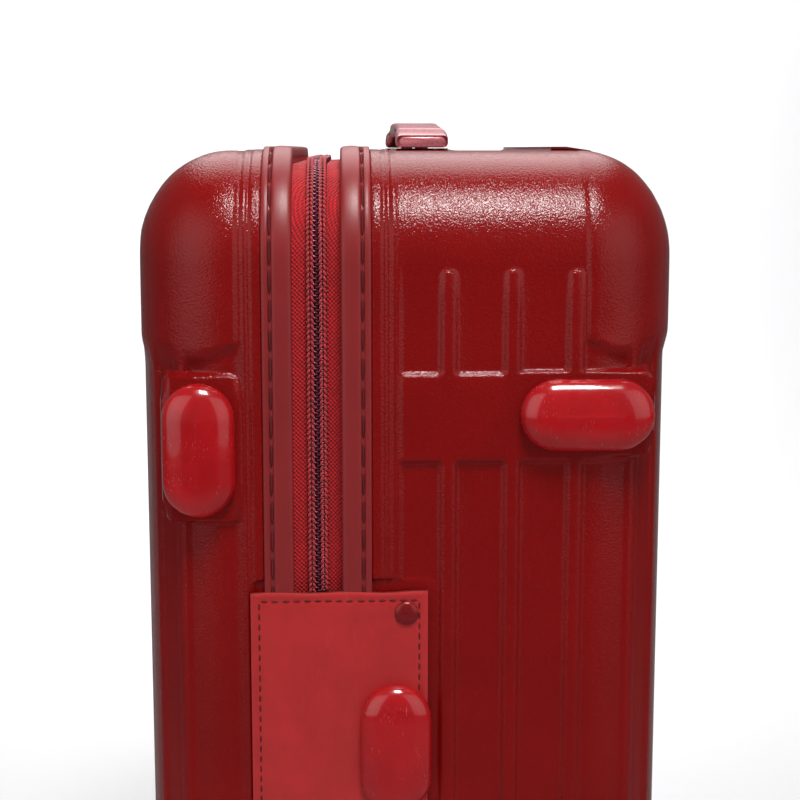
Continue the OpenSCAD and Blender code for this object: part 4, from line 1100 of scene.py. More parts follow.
def flap_height(y, z):
    """Height of the leather's outside over the side of the shells, in mm."""
    height = 1.55 + 0 * y
    for centre in (ZIP[1] - 15.5, ZIP[1] + 15.5):
        height = height + 0.55 * np.exp(-((y - centre) / 4.5) ** 2)
    height = height - 0.35 * np.exp(-((y - ZIP[1]) / 5.0) ** 2)
    edge = np.minimum(np.minimum(REAR_EDGE - y, y - FRONT_EDGE), FLAP_HALF - np.abs(z))
    height = height - 0.28 * np.exp(-((edge - HEM) / 0.9) ** 2) - 0.5 * np.exp(-(edge / 0.7) ** 2)
    height = height + 0.12 * np.sin(z * 0.11 + y * 0.07) * np.sin(y * 0.16 - 1.0) * soft_step(edge, 2, 10)
    foot = np.hypot(np.maximum(np.abs(z) - 13, 0), y + 5.5) - 15
    return height - 0.25 * np.exp(-(foot / 2.0) ** 2)


def build_flap():
    ys = graded(FRONT_EDGE, REAR_EDGE, [FRONT_EDGE + HEM, REAR_EDGE - HEM, FRONT_EDGE + 0.8, REAR_EDGE - 0.8,
                                        ZIP[1] - 11, ZIP[1] + 11], 2.4)
    zs = graded(-FLAP_HALF, FLAP_HALF, mirrored([FLAP_HALF - HEM, FLAP_HALF - 0.8]), 3.0)
    y, z = np.meshgrid(ys, zs)
    hem_wave = 0.35 * np.sin(y * 0.21 + 0.6) * (np.abs(z) / FLAP_HALF) ** 8
    top = np.stack([SHELL_X + HALF_W + flap_height(y, z), y, SHELL_Z + z + hem_wave * np.sign(z)], -1)
    low = top.copy()
    low[..., 0] -= FLAP_T
    rows, cols = y.shape
    points = np.concatenate([top.reshape(-1, 3), low.reshape(-1, 3)])
    half = rows * cols
    faces = []
    for j in range(rows - 1):
        for i in range(cols - 1):
            a = j * cols + i
            faces.append((a, a + 1, a + cols + 1, a + cols))
            faces.append((half + a, half + a + cols, half + a + cols + 1, half + a + 1))
    ring = border_of(rows, cols)
    rim_start = len(faces)
    for a, b in zip(ring, ring[1:] + ring[:1]):
        faces.append((b, a, half + a, half + b))
    obj = new_mesh("leather_hinge_flap", points, faces)
    crease(obj, 55)
    obj.data.materials.append(RED["leather"])
    obj.data.materials.append(RED["leather_edge"])
    for face in obj.data.polygons[rim_start:]:
        face.material_index = 1
    return obj


def bend_with_lid(obj):
    """Bakes the object's placement into its points."""
    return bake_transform(obj)


flap = build_flap()
bend_with_lid(flap)
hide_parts("hinge_flap_rear", "hinge_flap_front")
print("flap:", len(flap.data.polygons), "faces, reaches from", FRONT_EDGE, "to", REAR_EDGE)

# %% Stitches round the flap's hem
def hem_stitches():
    y0, y1, z1 = FRONT_EDGE + HEM, REAR_EDGE - HEM, FLAP_HALF - HEM
    corners = [(y0, -z1), (y1, -z1), (y1, z1), (y0, z1)]
    places = []
    for (ya, za), (yb, zb) in zip(corners, corners[1:] + corners[:1]):
        length = math.hypot(yb - ya, zb - za)
        count = round(length / 4.4)
        ahead = np.array([0, (yb - ya) / length, (zb - za) / length])
        for k in range(count):
            t = (k + 0.5) / count
            y, z = ya + (yb - ya) * t, za + (zb - za) * t
            out = np.array([1.0, 0, 0])
            place = np.array([SHELL_X + HALF_W + float(flap_height(np.array(y), np.array(z))) + 0.12, y, SHELL_Z + z])
            lean = rng.uniform(-0.04, 0.04)
            across = np.cross(out, ahead)
            places.append((place, ahead + lean * across, across - lean * ahead, out))
    return scatter("flap_hem_stitches", spindle(3.5, 0.36, 0.45), places, RED["thread"])


stitches = hem_stitches()
bend_with_lid(stitches)
print(stitches.name, len(stitches.data.polygons), "faces")

# %% [markdown]
# ## Side feet and rivets
#
# Each foot is a glossy capsule with a nearly flat top. Insetting its round-ended outline step by step, and raising
# each step along a superellipse, gives that pebble shape with exact size. The rivet's dome is a turned profile.

# %% Capsule feet
FOOT_L, FOOT_W, FOOT_RISE, FOOT_EDGE = 56, 30, 9.5, 13.6


def capsule(name, middle, long_axis, low=0, segments=32):
    """A pebble with round ends on the hinge side, raised along +X from low."""
    half_line, half_w = (FOOT_L - FOOT_W) / 2, FOOT_W / 2
    levels = [(0.25, 0.0), (0.0, 0.12), (0.0, 0.26)]
    for t in np.linspace(0.0, 1.0, 14)[1:]:
        levels.append((FOOT_EDGE * t ** 1.6, 0.26 + 0.72 * (1 - (1 - t ** 1.6) ** 2.4) ** (1 / 1.9)))
    levels += [(FOOT_EDGE + (half_w - FOOT_EDGE) * t, 0.98 + 0.02 * t) for t in (0.4, 0.97)]
    angles = np.linspace(-math.pi / 2, math.pi / 2, segments // 2 + 1)
    ring_dirs = [(1, a) for a in angles] + [(-1, a) for a in angles]
    points = []
    for inset, rise in levels:
        radius = half_w - inset
        for end, a in ring_dirs:
            u = end * (half_line + radius * math.cos(a))
            v = end * radius * math.sin(a)
            y, z = (u, v) if long_axis == "y" else (-v, u)
            points.append((middle[0] + low + (FOOT_RISE - low) * rise, middle[1] + y, middle[2] + z))
    count = len(ring_dirs)
    faces = ring_caps(len(levels), count)[:1] + ring_quads(len(levels), count)
    last = (len(levels) - 1) * count
    for m in range(count // 2 - 1):
        a, b = last + m, last + m + 1
        c, d = last + count - 2 - m, last + count - 1 - m
        faces.append((a, b, c, d))
    obj = new_mesh(name, points, faces)
    obj.data.materials.append(RED["foot"])
    return obj


def joined(name, objects):
    """Several objects of one finish as one piece."""
    mesh_parts = bmesh.new()
    slots = []
    for obj in objects:
        for material in obj.data.materials:
            if material not in slots:
                slots.append(material)
    for obj in objects:
        start = len(mesh_parts.faces)
        mesh_parts.from_mesh(obj.data)
        mesh_parts.faces.ensure_lookup_table()
        own = list(obj.data.materials)
        for face in mesh_parts.faces[start:]:
            face.material_index = slots.index(own[face.material_index]) if own else 0
    mesh = bpy.data.meshes.new(name)
    mesh_parts.to_mesh(mesh)
    mesh_parts.free()
    for material in slots:
        mesh.materials.append(material)
    for obj in objects:
        bpy.data.objects.remove(obj)
    return link(bpy.data.objects.new(name, mesh))


side_x = SHELL_X + HALF_W
rear_feet = joined("rear_pebble_feet", [
    capsule("foot", (side_x, FEET[1]["y"], SHELL_Z + s * (HALF_H - FEET[1]["e"])), "y") for s in (-1, 1)])
front_feet = joined("front_pebble_feet", [
    capsule("foot", (side_x, -FEET[-1]["y"], SHELL_Z + s * (HALF_H - FEET[-1]["e"])), "z") for s in (-1, 1)])
middle_foot = capsule("middle_pebble_foot", (side_x, -5.5, SHELL_Z), "z", low=1.0)
for foot, body, cad in ((rear_feet, "case", "rear_side_feet"), (front_feet, "lid", "front_side_feet"),
                        (middle_foot, "case", "hinge_foot")):
    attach(foot, body)
    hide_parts(cad)
    print(foot.name, len(foot.data.polygons), "faces")

# %% Turned shapes: rivets first
def turned(name, profile, middle, axis, material, segments=40):
    """A lathe shape. profile is (radius, height) from the back to the front, along the given axis."""
    axis = Vector(axis).normalized()
    u = axis.orthogonal().normalized()
    v = axis.cross(u)
    points = []
    for radius, height in profile:
        for a in np.linspace(0, 2 * math.pi, segments, endpoint=False):
            points.append(Vector(middle) + axis * height + (u * math.cos(a) + v * math.sin(a)) * max(radius, 0.01))
    faces = ring_quads(len(profile), segments) + ring_caps(len(profile), segments)
    obj = new_mesh(name, points, faces)
    crease(obj, 45)
    obj.data.materials.append(material)
    return obj


RIVET_IN = 9                         # from the flap's edges to the rivet
RIVET_Y, RIVET_Z = REAR_EDGE - RIVET_IN, FLAP_HALF - RIVET_IN
DOME = [(4.0, -5.0), (4.0, -3.0), (2.0, -2.8), (2.0, 1.0), (4.7, 1.45), (5.0, 1.7), (5.0, 2.1), (4.7, 2.5),
        (4.0, 2.85), (2.8, 3.15), (1.4, 3.35), (0.2, 3.4)]
rivets = joined("flap_rivets", [
    turned("rivet", DOME, (side_x, RIVET_Y, SHELL_Z + s * RIVET_Z), (1, 0, 0), RED["rivet"]) for s in (-1, 1)])
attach(rivets, "case")
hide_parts("hinge_rivets")
print(rivets.name, len(rivets.data.polygons), "faces")

# %% [markdown]
# ## Carry handles
#
# A carry handle is a bowed bar with a metal cap at each end. It is lofted: a rounded section is set at many places
# along the bar, and its height and width change as it goes. Fine grooves part the caps from the grip. The same
# loft serves the top and the side, turned by a frame of three directions.

# %% Lofted carry handles
def loft(name, sections, material):
    """A closed skin over a row of sections that have the same number of points."""
    rings, count = len(sections), len(sections[0])
    first_cap, last_cap = ring_caps(rings, count)
    obj = new_mesh(name, np.concatenate(sections), [first_cap, *ring_quads(rings, count), last_cap])
    recalculated(obj)
    crease(obj, 50)
    obj.data.materials.append(material)
    return obj


def rounded_section(v0, v1, h0, h1, radius, steps=4):
    """Points of a rounded rectangle in (across, height)."""
    radius = min(radius, (h1 - h0) / 2 - 0.01, (v1 - v0) / 2 - 0.01)
    points = []
    for cv, ch, start in ((v1 - radius, h1 - radius, 0), (v0 + radius, h1 - radius, 90),
                          (v0 + radius, h0 + radius, 180), (v1 - radius, h0 + radius, 270)):
        for a in np.linspace(0, 90, steps):
            t = math.radians(start + a)
            points.append((cv + radius * math.cos(t), ch + radius * math.sin(t)))
    return points


GRIP_HALF, GRIP_END, GRIP_RISE, GRIP_CLEAR, FINGER_GAP, CAP_AT = 100.0, 5.4, 13.0, 0.6, 6.0, 78.0


def grip_heights(u):
    """Heights of the bar's top and underside over the shell, at a distance from its middle."""
    top = GRIP_END + (GRIP_RISE - GRIP_END) * max(0.0, math.cos(u / GRIP_HALF * math.pi / 2)) ** 0.6
    under = GRIP_CLEAR
    if abs(u) < GUIDE_AT - 6:
        under += (FINGER_GAP - GRIP_CLEAR) * min(1, 2 * math.cos(u / (GUIDE_AT - 6) * math.pi / 2))
    return top, under


def carry_handle(name, body, cad, middle, along, across, out, width):
    along, across, out, middle = (np.array(v, float) for v in (along, across, out, middle))
    pieces = []
    spans = [("cap", -GRIP_HALF, -CAP_AT - 0.5), ("grip", -CAP_AT + 0.1, CAP_AT - 0.1),
             ("cap", CAP_AT + 0.5, GRIP_HALF), ("core", -CAP_AT - 2, CAP_AT + 2)]
    for kind, u0, u1 in spans:
        us = graded(u0, u1, [u0 + 0.9, u1 - 0.9], 4.0 if kind != "cap" else 2.0, (-0.6, 0.0, 0.6))
        sections = []
        for u in us:
            top, under = grip_heights(u)
            edge = min(u - u0, u1 - u)
            shrink = 0.75 * (1 - soft_step(edge, 0.0, 1.2)) + (1.0 if kind == "core" else 0.0)
            from_tip = GRIP_HALF - abs(u)
            half = width / 2 - shrink - (0.9 * (1 - min(1, from_tip / 4)) ** 2 if kind == "cap" else 0)
            waist = 1.2 * math.exp(-((abs(u) - 50) / 30) ** 2) if kind == "grip" else 0
            crown = 0.35 if kind == "grip" else 0.0
            section = rounded_section(-half + waist, half - waist, under + shrink * 0.6, top - shrink * 0.7, 2.0)
            ring = []
            for v, h in section:
                h += crown * (1 - (v / half) ** 2) * (h > (top + under) / 2)
                bow = -2.2 * (v / half) ** 2 * math.copysign(1, u) if kind == "cap" and from_tip < 1.3 else 0
                ring.append(middle + along * (u + bow) + across * v + out * h)
            sections.append(np.array(ring))
        material = {"cap": RED["grip"], "grip": RED["grip"], "core": BLACK["trim"]}[kind]
        pieces.append(loft(kind, sections, material))
    for s in (-1, 1):
        pin = [(3.0, -20.4), (4.4, -20.3), (4.5, -20.0), (4.5, -18.8), (4.3, -18.4), (3.0, -18.3), (3.0, 1.2)]
        pieces.append(turned("pin", pin, middle + along * s * GUIDE_AT, out, METAL["steel"], 24))
    obj = joined(name, pieces)
    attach(obj, body)
    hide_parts(cad)
    print(name, len(obj.data.polygons), "faces")
    return obj


carry_handle("top_carry_handle", "top_grip", "top_handle", (SHELL_X, TOP_GRIP_Y, SHELL_Z + HALF_H),
             (1, 0, 0), (0, 1, 0), (0, 0, 1), 24.0)
carry_handle("side_carry_handle", "side_grip", "side_handle", (SHELL_X - HALF_W, SIDE_GRIP_Y, SHELL_Z),
             (0, 0, 1), (0, 1, 0), (-1, 0, 0), 26.0)

# %% [markdown]
# ## CAD pieces that keep their own shape
#
# Screws, tubes, forks and lock parts are already right in the CAD. What they lack is what every real part has: a
# small bevel that catches the light, and a finish. A bevel modifier limited by angle rounds only the true edges.

# %% Finishing CAD pieces
def dress(cad, material, bevel):
    """Gives a CAD piece its finish, and a bevel of this many mm."""
    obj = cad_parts[cad]
    obj.data.materials.clear()
    obj.data.materials.append(material)
    if bevel:
        edge = obj.modifiers.new("soft_edges", "BEVEL")
        edge.width, edge.segments = bevel * MM, 3
        edge.limit_method, edge.angle_limit = "ANGLE", math.radians(32)
        obj.data.shade_smooth()
        crease(obj, 35)


CORNERS = [f"{half}_{hand}" for half in ("front", "rear") for hand in ("left", "right")]
DRESSED = {
    "top_handle_mounts": (METAL["dark"], 0.0), "side_handle_mounts": (METAL["dark"], 0.0),
    "rear_screws": (METAL["steel"], 0.3), "front_screws": (METAL["steel"], 0.3),
    "lock_housing": (RED["lock"], 0.35), "lock_button": (METAL["steel"], 0.4), "lock_key_core": (METAL["steel"], 0.2),
    "zip_slider_upper": (METAL["dark"], 0.45), "zip_slider_lower": (METAL["dark"], 0.45),
    "zip_pull_upper": (METAL["dark"], 0.4), "zip_pull_lower": (METAL["dark"], 0.4),
    "lock_dial_upper": (METAL["steel"], 0.15), "lock_dial_middle": (METAL["steel"], 0.15),
    "lock_dial_lower": (METAL["steel"], 0.15),
    "telescope_outer_tubes": (METAL["tube"], 0.5), "telescope_middle_tubes": (METAL["tube"], 0.5),
    "telescope_inner_tubes": (METAL["tube"], 0.5), "telescope_brackets": (BLACK["trim"], 1.2),
    "telescope_bezel": (RED["lock"], 0.35), "telescope_grip": (BLACK["grip"], 1.2),
    "telescope_button": (METAL["steel"], 0.5),
    "rear_wheel_housings": (BLACK["trim"], 0.35), "front_wheel_housings": (BLACK["trim"], 0.35),
}
for corner in CORNERS:
    DRESSED[f"fork_{corner}"] = (BLACK["trim"], 0.7)
    DRESSED[f"axle_{corner}"] = (METAL["steel"], 0.35)
for cad, (material, bevel) in DRESSED.items():
    dress(cad, material, bevel)
print(len(DRESSED), "CAD pieces dressed")

# %% [markdown]
# ## Casters
#
# Each caster has two wheels. A wheel is turned on a lathe: a rubber tyre with two fine grooves and a plastic core
# with a dish, a rim and a hub. The core gets raised spokes. One wheel is built and then repeated at each corner.

# %% Caster wheels
WHEEL_R, FORK_HALF, WHEEL_GAP, TRAIL, SPOKES = 19.0, 3.8, 0.4, 10.0, 6
CASTER_X, CASTER_Y = HALF_W - 35.0, FACE_Y - 31.0
TYRE = [(14.6, 0.6), (15.2, 0.15), (17.4, 0.1), (18.5, 0.6), (18.95, 1.6), (19.0, 2.9), (18.6, 3.1), (18.6, 3.5),
        (19.0, 3.7), (19.0, 5.3), (18.6, 5.5), (18.6, 5.9), (19.0, 6.1), (18.95, 7.4), (18.5, 8.4), (17.4, 8.9),
        (15.2, 8.85), (14.6, 8.4)]
CORE = [(2.56, 0.1), (5.2, 0.1), (5.6, 0.5), (6.0, 1.2), (13.2, 1.4), (14.0, 0.7), (14.7, 0.6), (14.7, 8.4),
        (14.0, 8.5), (13.3, 7.9), (12.6, 7.5), (6.9, 7.4), (6.5, 7.9), (6.1, 8.9), (4.9, 8.95), (4.6, 8.9),
        (2.56, 8.9)]


def wheel(name, middle, out, spin):
    tyre = turned("tyre", TYRE, middle, out, BLACK["tyre"], 72)
    core = turned("core", CORE, middle, out, BLACK["hub"], 48)
    out_v = Vector(out)
    u = out_v.orthogonal().normalized()
    v = out_v.cross(u)
    spokes = []
    for k in range(SPOKES):
        a = spin + k * 2 * math.pi / SPOKES
        ahead, across = u * math.cos(a) + v * math.sin(a), -u * math.sin(a) + v * math.cos(a)
        sections = []
        for r, half, top in ((6.0, 1.5, 8.35), (8.0, 1.25, 8.25), (11.0, 1.15, 8.1), (13.4, 1.5, 8.0)):
            sections.append(np.array([Vector(middle) + ahead * r + across * c + out_v * h
                                      for c, h in rounded_section(-half, half, 7.0, top, 0.5, 3)]))
        spokes.append(loft("spoke", sections, BLACK["hub"]))
    return joined(name, [tyre, core, *spokes])


for corner in CORNERS:
    half, hand = (-1 if corner.startswith("front") else 1), (-1 if corner.endswith("left") else 1)
    for place, out_y in (("near", -half), ("far", half)):
        middle = (SHELL_X + hand * (CASTER_X + TRAIL), half * CASTER_Y + out_y * (FORK_HALF + WHEEL_GAP), WHEEL_R)
        obj = wheel(f"caster_wheel_{place}_{corner}", middle, (0, out_y, 0), rng.uniform(0, 1))
        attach(obj, f"roller_{place}_{corner}")
        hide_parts(f"wheel_{place}_{corner}")
    low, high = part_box(f"wheel_near_{corner}")
    print(corner, "wheel from y", round(low.y / MM, 1), "to", round(high.y / MM, 1))

# %% [markdown]
# ## Numbers on the lock
#
# Ten small figures go round each dial. Blender's own text makes the outlines, and each figure is laid flat against
# the dial, square to its radius.

# %% Dial numbers
LOCK_FACE, DIAL_R, DIAL_PITCH = 3.2, 5.2, 8.0
dial_x = SHELL_X - HALF_W - (LOCK_FACE + 0.8 - DIAL_R)
dial_y = (LOCK_Y[0] + 5 + LOCK_Y[1]) / 2


def figure_mesh(character, size):
    text = bpy.data.curves.new("figure", "FONT")
    text.body, text.size, text.align_x, text.align_y, text.extrude = character, size, "CENTER", "CENTER", 0.05
    text.resolution_u = 3
    holder = link(bpy.data.objects.new("figure", text))
    bpy.context.view_layer.update()
    mesh = bpy.data.meshes.new_from_object(holder.evaluated_get(bpy.context.evaluated_depsgraph_get()))
    points = [tuple(v.co) for v in mesh.vertices]
    faces = [tuple(p.vertices) for p in mesh.polygons]
    bpy.data.objects.remove(holder)
    bpy.data.meshes.remove(mesh)
    return np.array(points), faces


FIGURE_SIZE = 2.5
figures = [figure_mesh(str(k), FIGURE_SIZE) for k in range(10)]
for name, place in (("upper", 1), ("middle", 0), ("lower", -1)):
    points, faces, start = [], [], 0
    for k, (flat, flat_faces) in enumerate(figures):
        a = math.radians(36 * k)
        out = np.array([-math.cos(a), math.sin(a), 0])
        up = np.array([math.sin(a), math.cos(a), 0.0])
        right = np.array([0, 0, -1.0])
        middle = np.array([dial_x, dial_y, SHELL_Z + place * DIAL_PITCH])
        points.append(middle + out * (DIAL_R - 0.07 + flat[:, 2:]) + right * flat[:, :1] + up * flat[:, 1:2])
        faces += [tuple(start + v for v in face) for face in flat_faces]
        start += len(flat)
    numbers = new_mesh(f"dial_numbers_{name}", np.concatenate(points), faces, smooth=False)
    numbers.data.materials.append(PRINT)
    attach(numbers, f"dial_{name}")
    print(numbers.name, len(faces), "faces")

# %% [markdown]
# ## The inside: linings
#
# Behind the lining hide the wheels' seats, the telescope's tubes and the handles' springs, so each lining is a
# smaller cup with unequal margins. It is cloth, glued at the rim and slack elsewhere. A cup-shaped grid gets
# shallow pulls that run down from the rim, and a piping that covers the glued edge.

# %% Linings
ROOMS = {1: (24.0, 26.0, 24.0, 41.0), -1: (9.0, 26.0, 9.0, 9.0)}    # lock side, bottom, top, face
LINING_R, HINGE_ROOM, LINING_T = 30.0, 9.0, 0.8


def lining_ring(side, y, radius, rise=0.0, count_z=60, count_x=48, corner_steps=8):
    """Points round the cup at one depth; rise pushes them inwards, away from the shell."""
    room = ROOMS[side]
    x0, x1 = -HALF_W + room[0], HALF_W - HINGE_ROOM
    z0, z1 = -HALF_H + room[1], HALF_H - room[2]
    cx0, cx1, cz0, cz1 = x0 + LINING_R, x1 - LINING_R, z0 + LINING_R, z1 - LINING_R
    quarter = np.linspace(0, math.pi / 2, corner_steps + 2)[1:-1]
    columns = [(cx1, z, 0.0) for z in np.linspace(cz0, cz1, count_z)]
    columns += [(cx1, cz1, a) for a in quarter]
    columns += [(x, cz1, math.pi / 2) for x in np.linspace(cx1, cx0, count_x)]
    columns += [(cx0, cz1, math.pi / 2 + a) for a in quarter]
    columns += [(cx0, z, math.pi) for z in np.linspace(cz1, cz0, count_z)]
    columns += [(cx0, cz0, math.pi + a) for a in quarter]
    columns += [(x, cz0, 1.5 * math.pi) for x in np.linspace(cx0, cx1, count_x)]
    columns += [(cx1, cz0, 1.5 * math.pi + a) for a in quarter]
    columns = np.array(columns)
    r = radius - rise
    return np.stack([columns[:, 0] + r * np.cos(columns[:, 2]), np.full(len(columns), y),
                     columns[:, 1] + r * np.sin(columns[:, 2])], -1)


def build_lining(side):
    rim = ZIP[side] + WELT_END
    face = FACE_Y - ROOMS[side][3]
    rows = []
    around = lining_ring(side, rim, LINING_R)
    spot = np.arange(len(around))
    flange = lining_ring(side, rim + 0.4, LINING_R)
    reach_x, reach_z = HALF_W - 3.0, HALF_H - 3.0
    for share in (1.0, 0.66, 0.33):
        ring = flange.copy()
        for axis, reach in ((0, reach_x), (2, reach_z)):
            low, high = around[:, axis].min(), around[:, axis].max()
            wide = (ring[:, axis] - low) / (high - low) * 2 * reach - reach
            ring[:, axis] += (wide - ring[:, axis]) * share
        corner = np.hypot(np.maximum(np.abs(ring[:, 0]) - CORE_W, 0), np.maximum(np.abs(ring[:, 2]) - CORE_H, 0))
        pull = np.minimum(1, (CORNER - 3.2) / np.maximum(corner, 1e-6)) if share == 1.0 else np.ones(len(ring))
        for axis, core in ((0, CORE_W), (2, CORE_H)):
            past = np.maximum(np.abs(ring[:, axis]) - core, 0)
            ring[:, axis] = np.sign(ring[:, axis]) * (np.abs(ring[:, axis]) - past + past * pull)
        rows.append(ring)
    depths = np.linspace(rim + 0.6, face - LINING_R, 14)
    pulls = (np.sin(spot * 0.83) + 0.6 * np.sin(spot * 0.31 + 1) + 0.5 * np.sin(spot * 1.7 + 2)) / 2.1
    for k, y in enumerate(depths):
        t = k / (len(depths) - 1)
        rows.append(lining_ring(side, y, LINING_R, rise=(0.35 + 1.3 * math.sin(math.pi * min(1, t * 1.1))
                                                        * (0.5 + 0.5 * pulls)) * min(1, 4 * t)))
    for a in np.linspace(0, math.pi / 2, 9)[1:]:
        rows.append(lining_ring(side, face - LINING_R + LINING_R * math.sin(a), max(LINING_R * math.cos(a), 0.6),
                                rise=0.3 * math.cos(a)))
    inner = rows[-1]
    middle = inner.mean(axis=0)
    for share in (0.8, 0.6, 0.4, 0.2, 0.06):
        ring = middle + (inner - middle) * share
        puff = np.sin(ring[:, 0] * 0.035 + 0.4) * np.sin(ring[:, 2] * 0.028) + 0.5 * np.sin(ring[:, 0] * 0.09)
        ring[:, 1] = face - 1.0 - 0.8 * np.abs(puff)
        rows.append(ring)
    sheet = np.stack(rows)
    count = sheet.shape[1]
    outer = sheet.reshape(-1, 3)
    step_u = np.roll(sheet, -1, axis=1) - np.roll(sheet, 1, axis=1)
    step_v = np.gradient(sheet, axis=0)
    inward = np.cross(step_u, step_v)
    inward /= np.maximum(np.linalg.norm(inward, axis=2, keepdims=True), 1e-9)
    inner_skin = (sheet + inward * LINING_T).reshape(-1, 3)
    faces = []
    total = len(outer)
    last = len(rows) - 1
    for k in range(last):
        for m in range(count):
            n = (m + 1) % count
            quad = (k * count + m, k * count + n, (k + 1) * count + n, (k + 1) * count + m)
            faces.append(quad)
            faces.append(tuple(total + v for v in reversed(quad)))
    for m in range(count):
        n = (m + 1) % count
        faces.append((m, total + m, total + n, n))
    faces.append(tuple(last * count + m for m in range(count)))
    faces.append(tuple(total + last * count + m for m in range(count))[::-1])
    points = np.concatenate([outer, inner_skin]) * np.array([1, side, 1]) + np.array([SHELL_X, 0, SHELL_Z])
    obj = new_mesh(f"{HALF_NAME[side]}_cloth_lining", points, faces)
    recalculated(obj)
    crease(obj, 60)
    obj.data.materials.append(CLOTH["lining"])
    area = sum(p.area for p in obj.data.polygons) / 2
    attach(obj, BODY[side])
    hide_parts(f"{HALF_NAME[side]}_lining")
    return obj, area, around


lining_rims = {}
for side in (1, -1):
    lining, area, lining_rims[side] = build_lining(side)

# %% Piping over the lining's edge
def tube_along(name, path, radius, material, sides=8):
    """A round piping along a closed path of points."""
    path = np.asarray(path, float)
    ahead = np.roll(path, -1, axis=0) - np.roll(path, 1, axis=0)
    ahead /= np.maximum(np.linalg.norm(ahead, axis=1, keepdims=True), 1e-9)
    u = np.cross(ahead, np.array([0.0, 1.0, 0.0]))
    flat = np.linalg.norm(u, axis=1) < 0.1
    u[flat] = np.cross(ahead[flat], np.array([1.0, 0, 0]))
    u /= np.linalg.norm(u, axis=1, keepdims=True)
    v = np.cross(ahead, u)
    angles = np.linspace(0, 2 * math.pi, sides, endpoint=False)
    rings = [path + radius * (math.cos(a) * u + math.sin(a) * v) for a in angles]
    points = np.stack(rings, 1).reshape(-1, 3)
    faces = []
    for k in range(len(path)):
        for m in range(sides):
            n, j = (m + 1) % sides, (k + 1) % len(path)
            faces.append((k * sides + m, k * sides + n, j * sides + n, j * sides + m))
    obj = new_mesh(name, points, faces)
    obj.data.materials.append(material)
    return obj


for side in (1, -1):
    path = lining_rims[side] * np.array([1, side, 1]) + np.array([SHELL_X, -0.2 * side, SHELL_Z])
    piping = tube_along(f"{HALF_NAME[side]}_lining_piping", path, 1.4, CLOTH["piping"])
    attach(piping, BODY[side])
    print(piping.name, len(piping.data.polygons), "faces")

# %% [markdown]
# ## Packing straps
#
# Two elastic straps hold the clothes down. A strap is a flat woven band with two firm selvedges, sewn into the lining
# at the wall and clipped in the middle. Each stretch is one grid with a thin section, and it hangs a few
# millimetres because it is slack when the case is empty.

# %% Straps
STRAP_Y, STRAP_HALF, STRAP_T, STRAP_RISE, STRAP_SAG = -3.5, 15.0, 1.2, 104.0, 3.0
STRETCHES = {"lock_side": (-168.25, -19.0), "hinge_side": (37.5, 186.75)}


def strap_stretch(name, x0, x1, z_middle):
    xs = np.linspace(x0, x1, 49)
    across = np.linspace(-STRAP_HALF, STRAP_HALF, 13)
    x, v = np.meshgrid(xs, across, indexing="ij")
    t = (x - x0) / (x1 - x0)
    sag = STRAP_SAG * np.sin(math.pi * t)
    ripple = 0.25 * np.sin(t * 17 + z_middle) * np.sin(math.pi * t)
    thick = STRAP_T / 2 * (0.72 + 0.28 * (np.abs(v) > STRAP_HALF - 3.2)) * (1 - 0.5 * (np.abs(v) > STRAP_HALF - 0.1))
    z = z_middle + v - sag
    front = np.stack([x, STRAP_Y + ripple - thick, z], -1).reshape(-1, 3)
    back = np.stack([x, STRAP_Y + ripple + thick, z], -1).reshape(-1, 3)
    faces, cols, half = [], len(across), len(front)
    for j in range(len(xs) - 1):
        for i in range(cols - 1):
            a = j * cols + i
            faces.append((a, a + cols, a + cols + 1, a + 1))
            faces.append((half + a, half + a + 1, half + a + cols + 1, half + a + cols))
        for i, flip in ((0, False), (cols - 1, True)):
            a = j * cols + i
            side_face = (a, half + a, half + a + cols, a + cols)
            faces.append(side_face[::-1] if flip else side_face)
    for j, flip in ((0, True), (len(xs) - 1, False)):
        for i in range(cols - 1):
            a = j * cols + i
            end_face = (a, half + a, half + a + 1, a + 1)
            faces.append(end_face[::-1] if flip else end_face)
    obj = new_mesh(name, np.concatenate([front, back]), faces)
    recalculated(obj)
    crease(obj, 50)
    obj.data.materials.append(BLACK["webbing"])
    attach(obj, "case")
    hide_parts("packing_straps")
    return obj


for level, s in (("upper", 1), ("lower", -1)):
    for place, (x0, x1) in STRETCHES.items():
        strap = strap_stretch(f"{level}_strap_{place}", x0, x1, SHELL_Z + s * STRAP_RISE)
        print(strap.name, "is", round(x1 - x0, 1), "mm long")

# %% [markdown]
# ## Strap buckles
#
# A side-release buckle is two mouldings: a hollow body, and a plug whose two springy arms show at the sides. Lofted
# sections give both their swelling outline, and the arms and finger ribs are lofts of their own.

# %% Buckles
BUCKLE_X = 9.25


def buckle_loft(name, z_middle, stations, v_middle=0.0):
    """stations are (place along the strap, half width, half thickness)."""
    sections = []
    for u, half_v, half_h in stations:
        ring = rounded_section(-half_v, half_v, -half_h, half_h, min(half_v, half_h) * 0.8, 5)
        sections.append(np.array([(BUCKLE_X + u, STRAP_Y + h, z_middle + v_middle + v) for v, h in ring]))
    return loft(name, sections, BLACK["trim"])


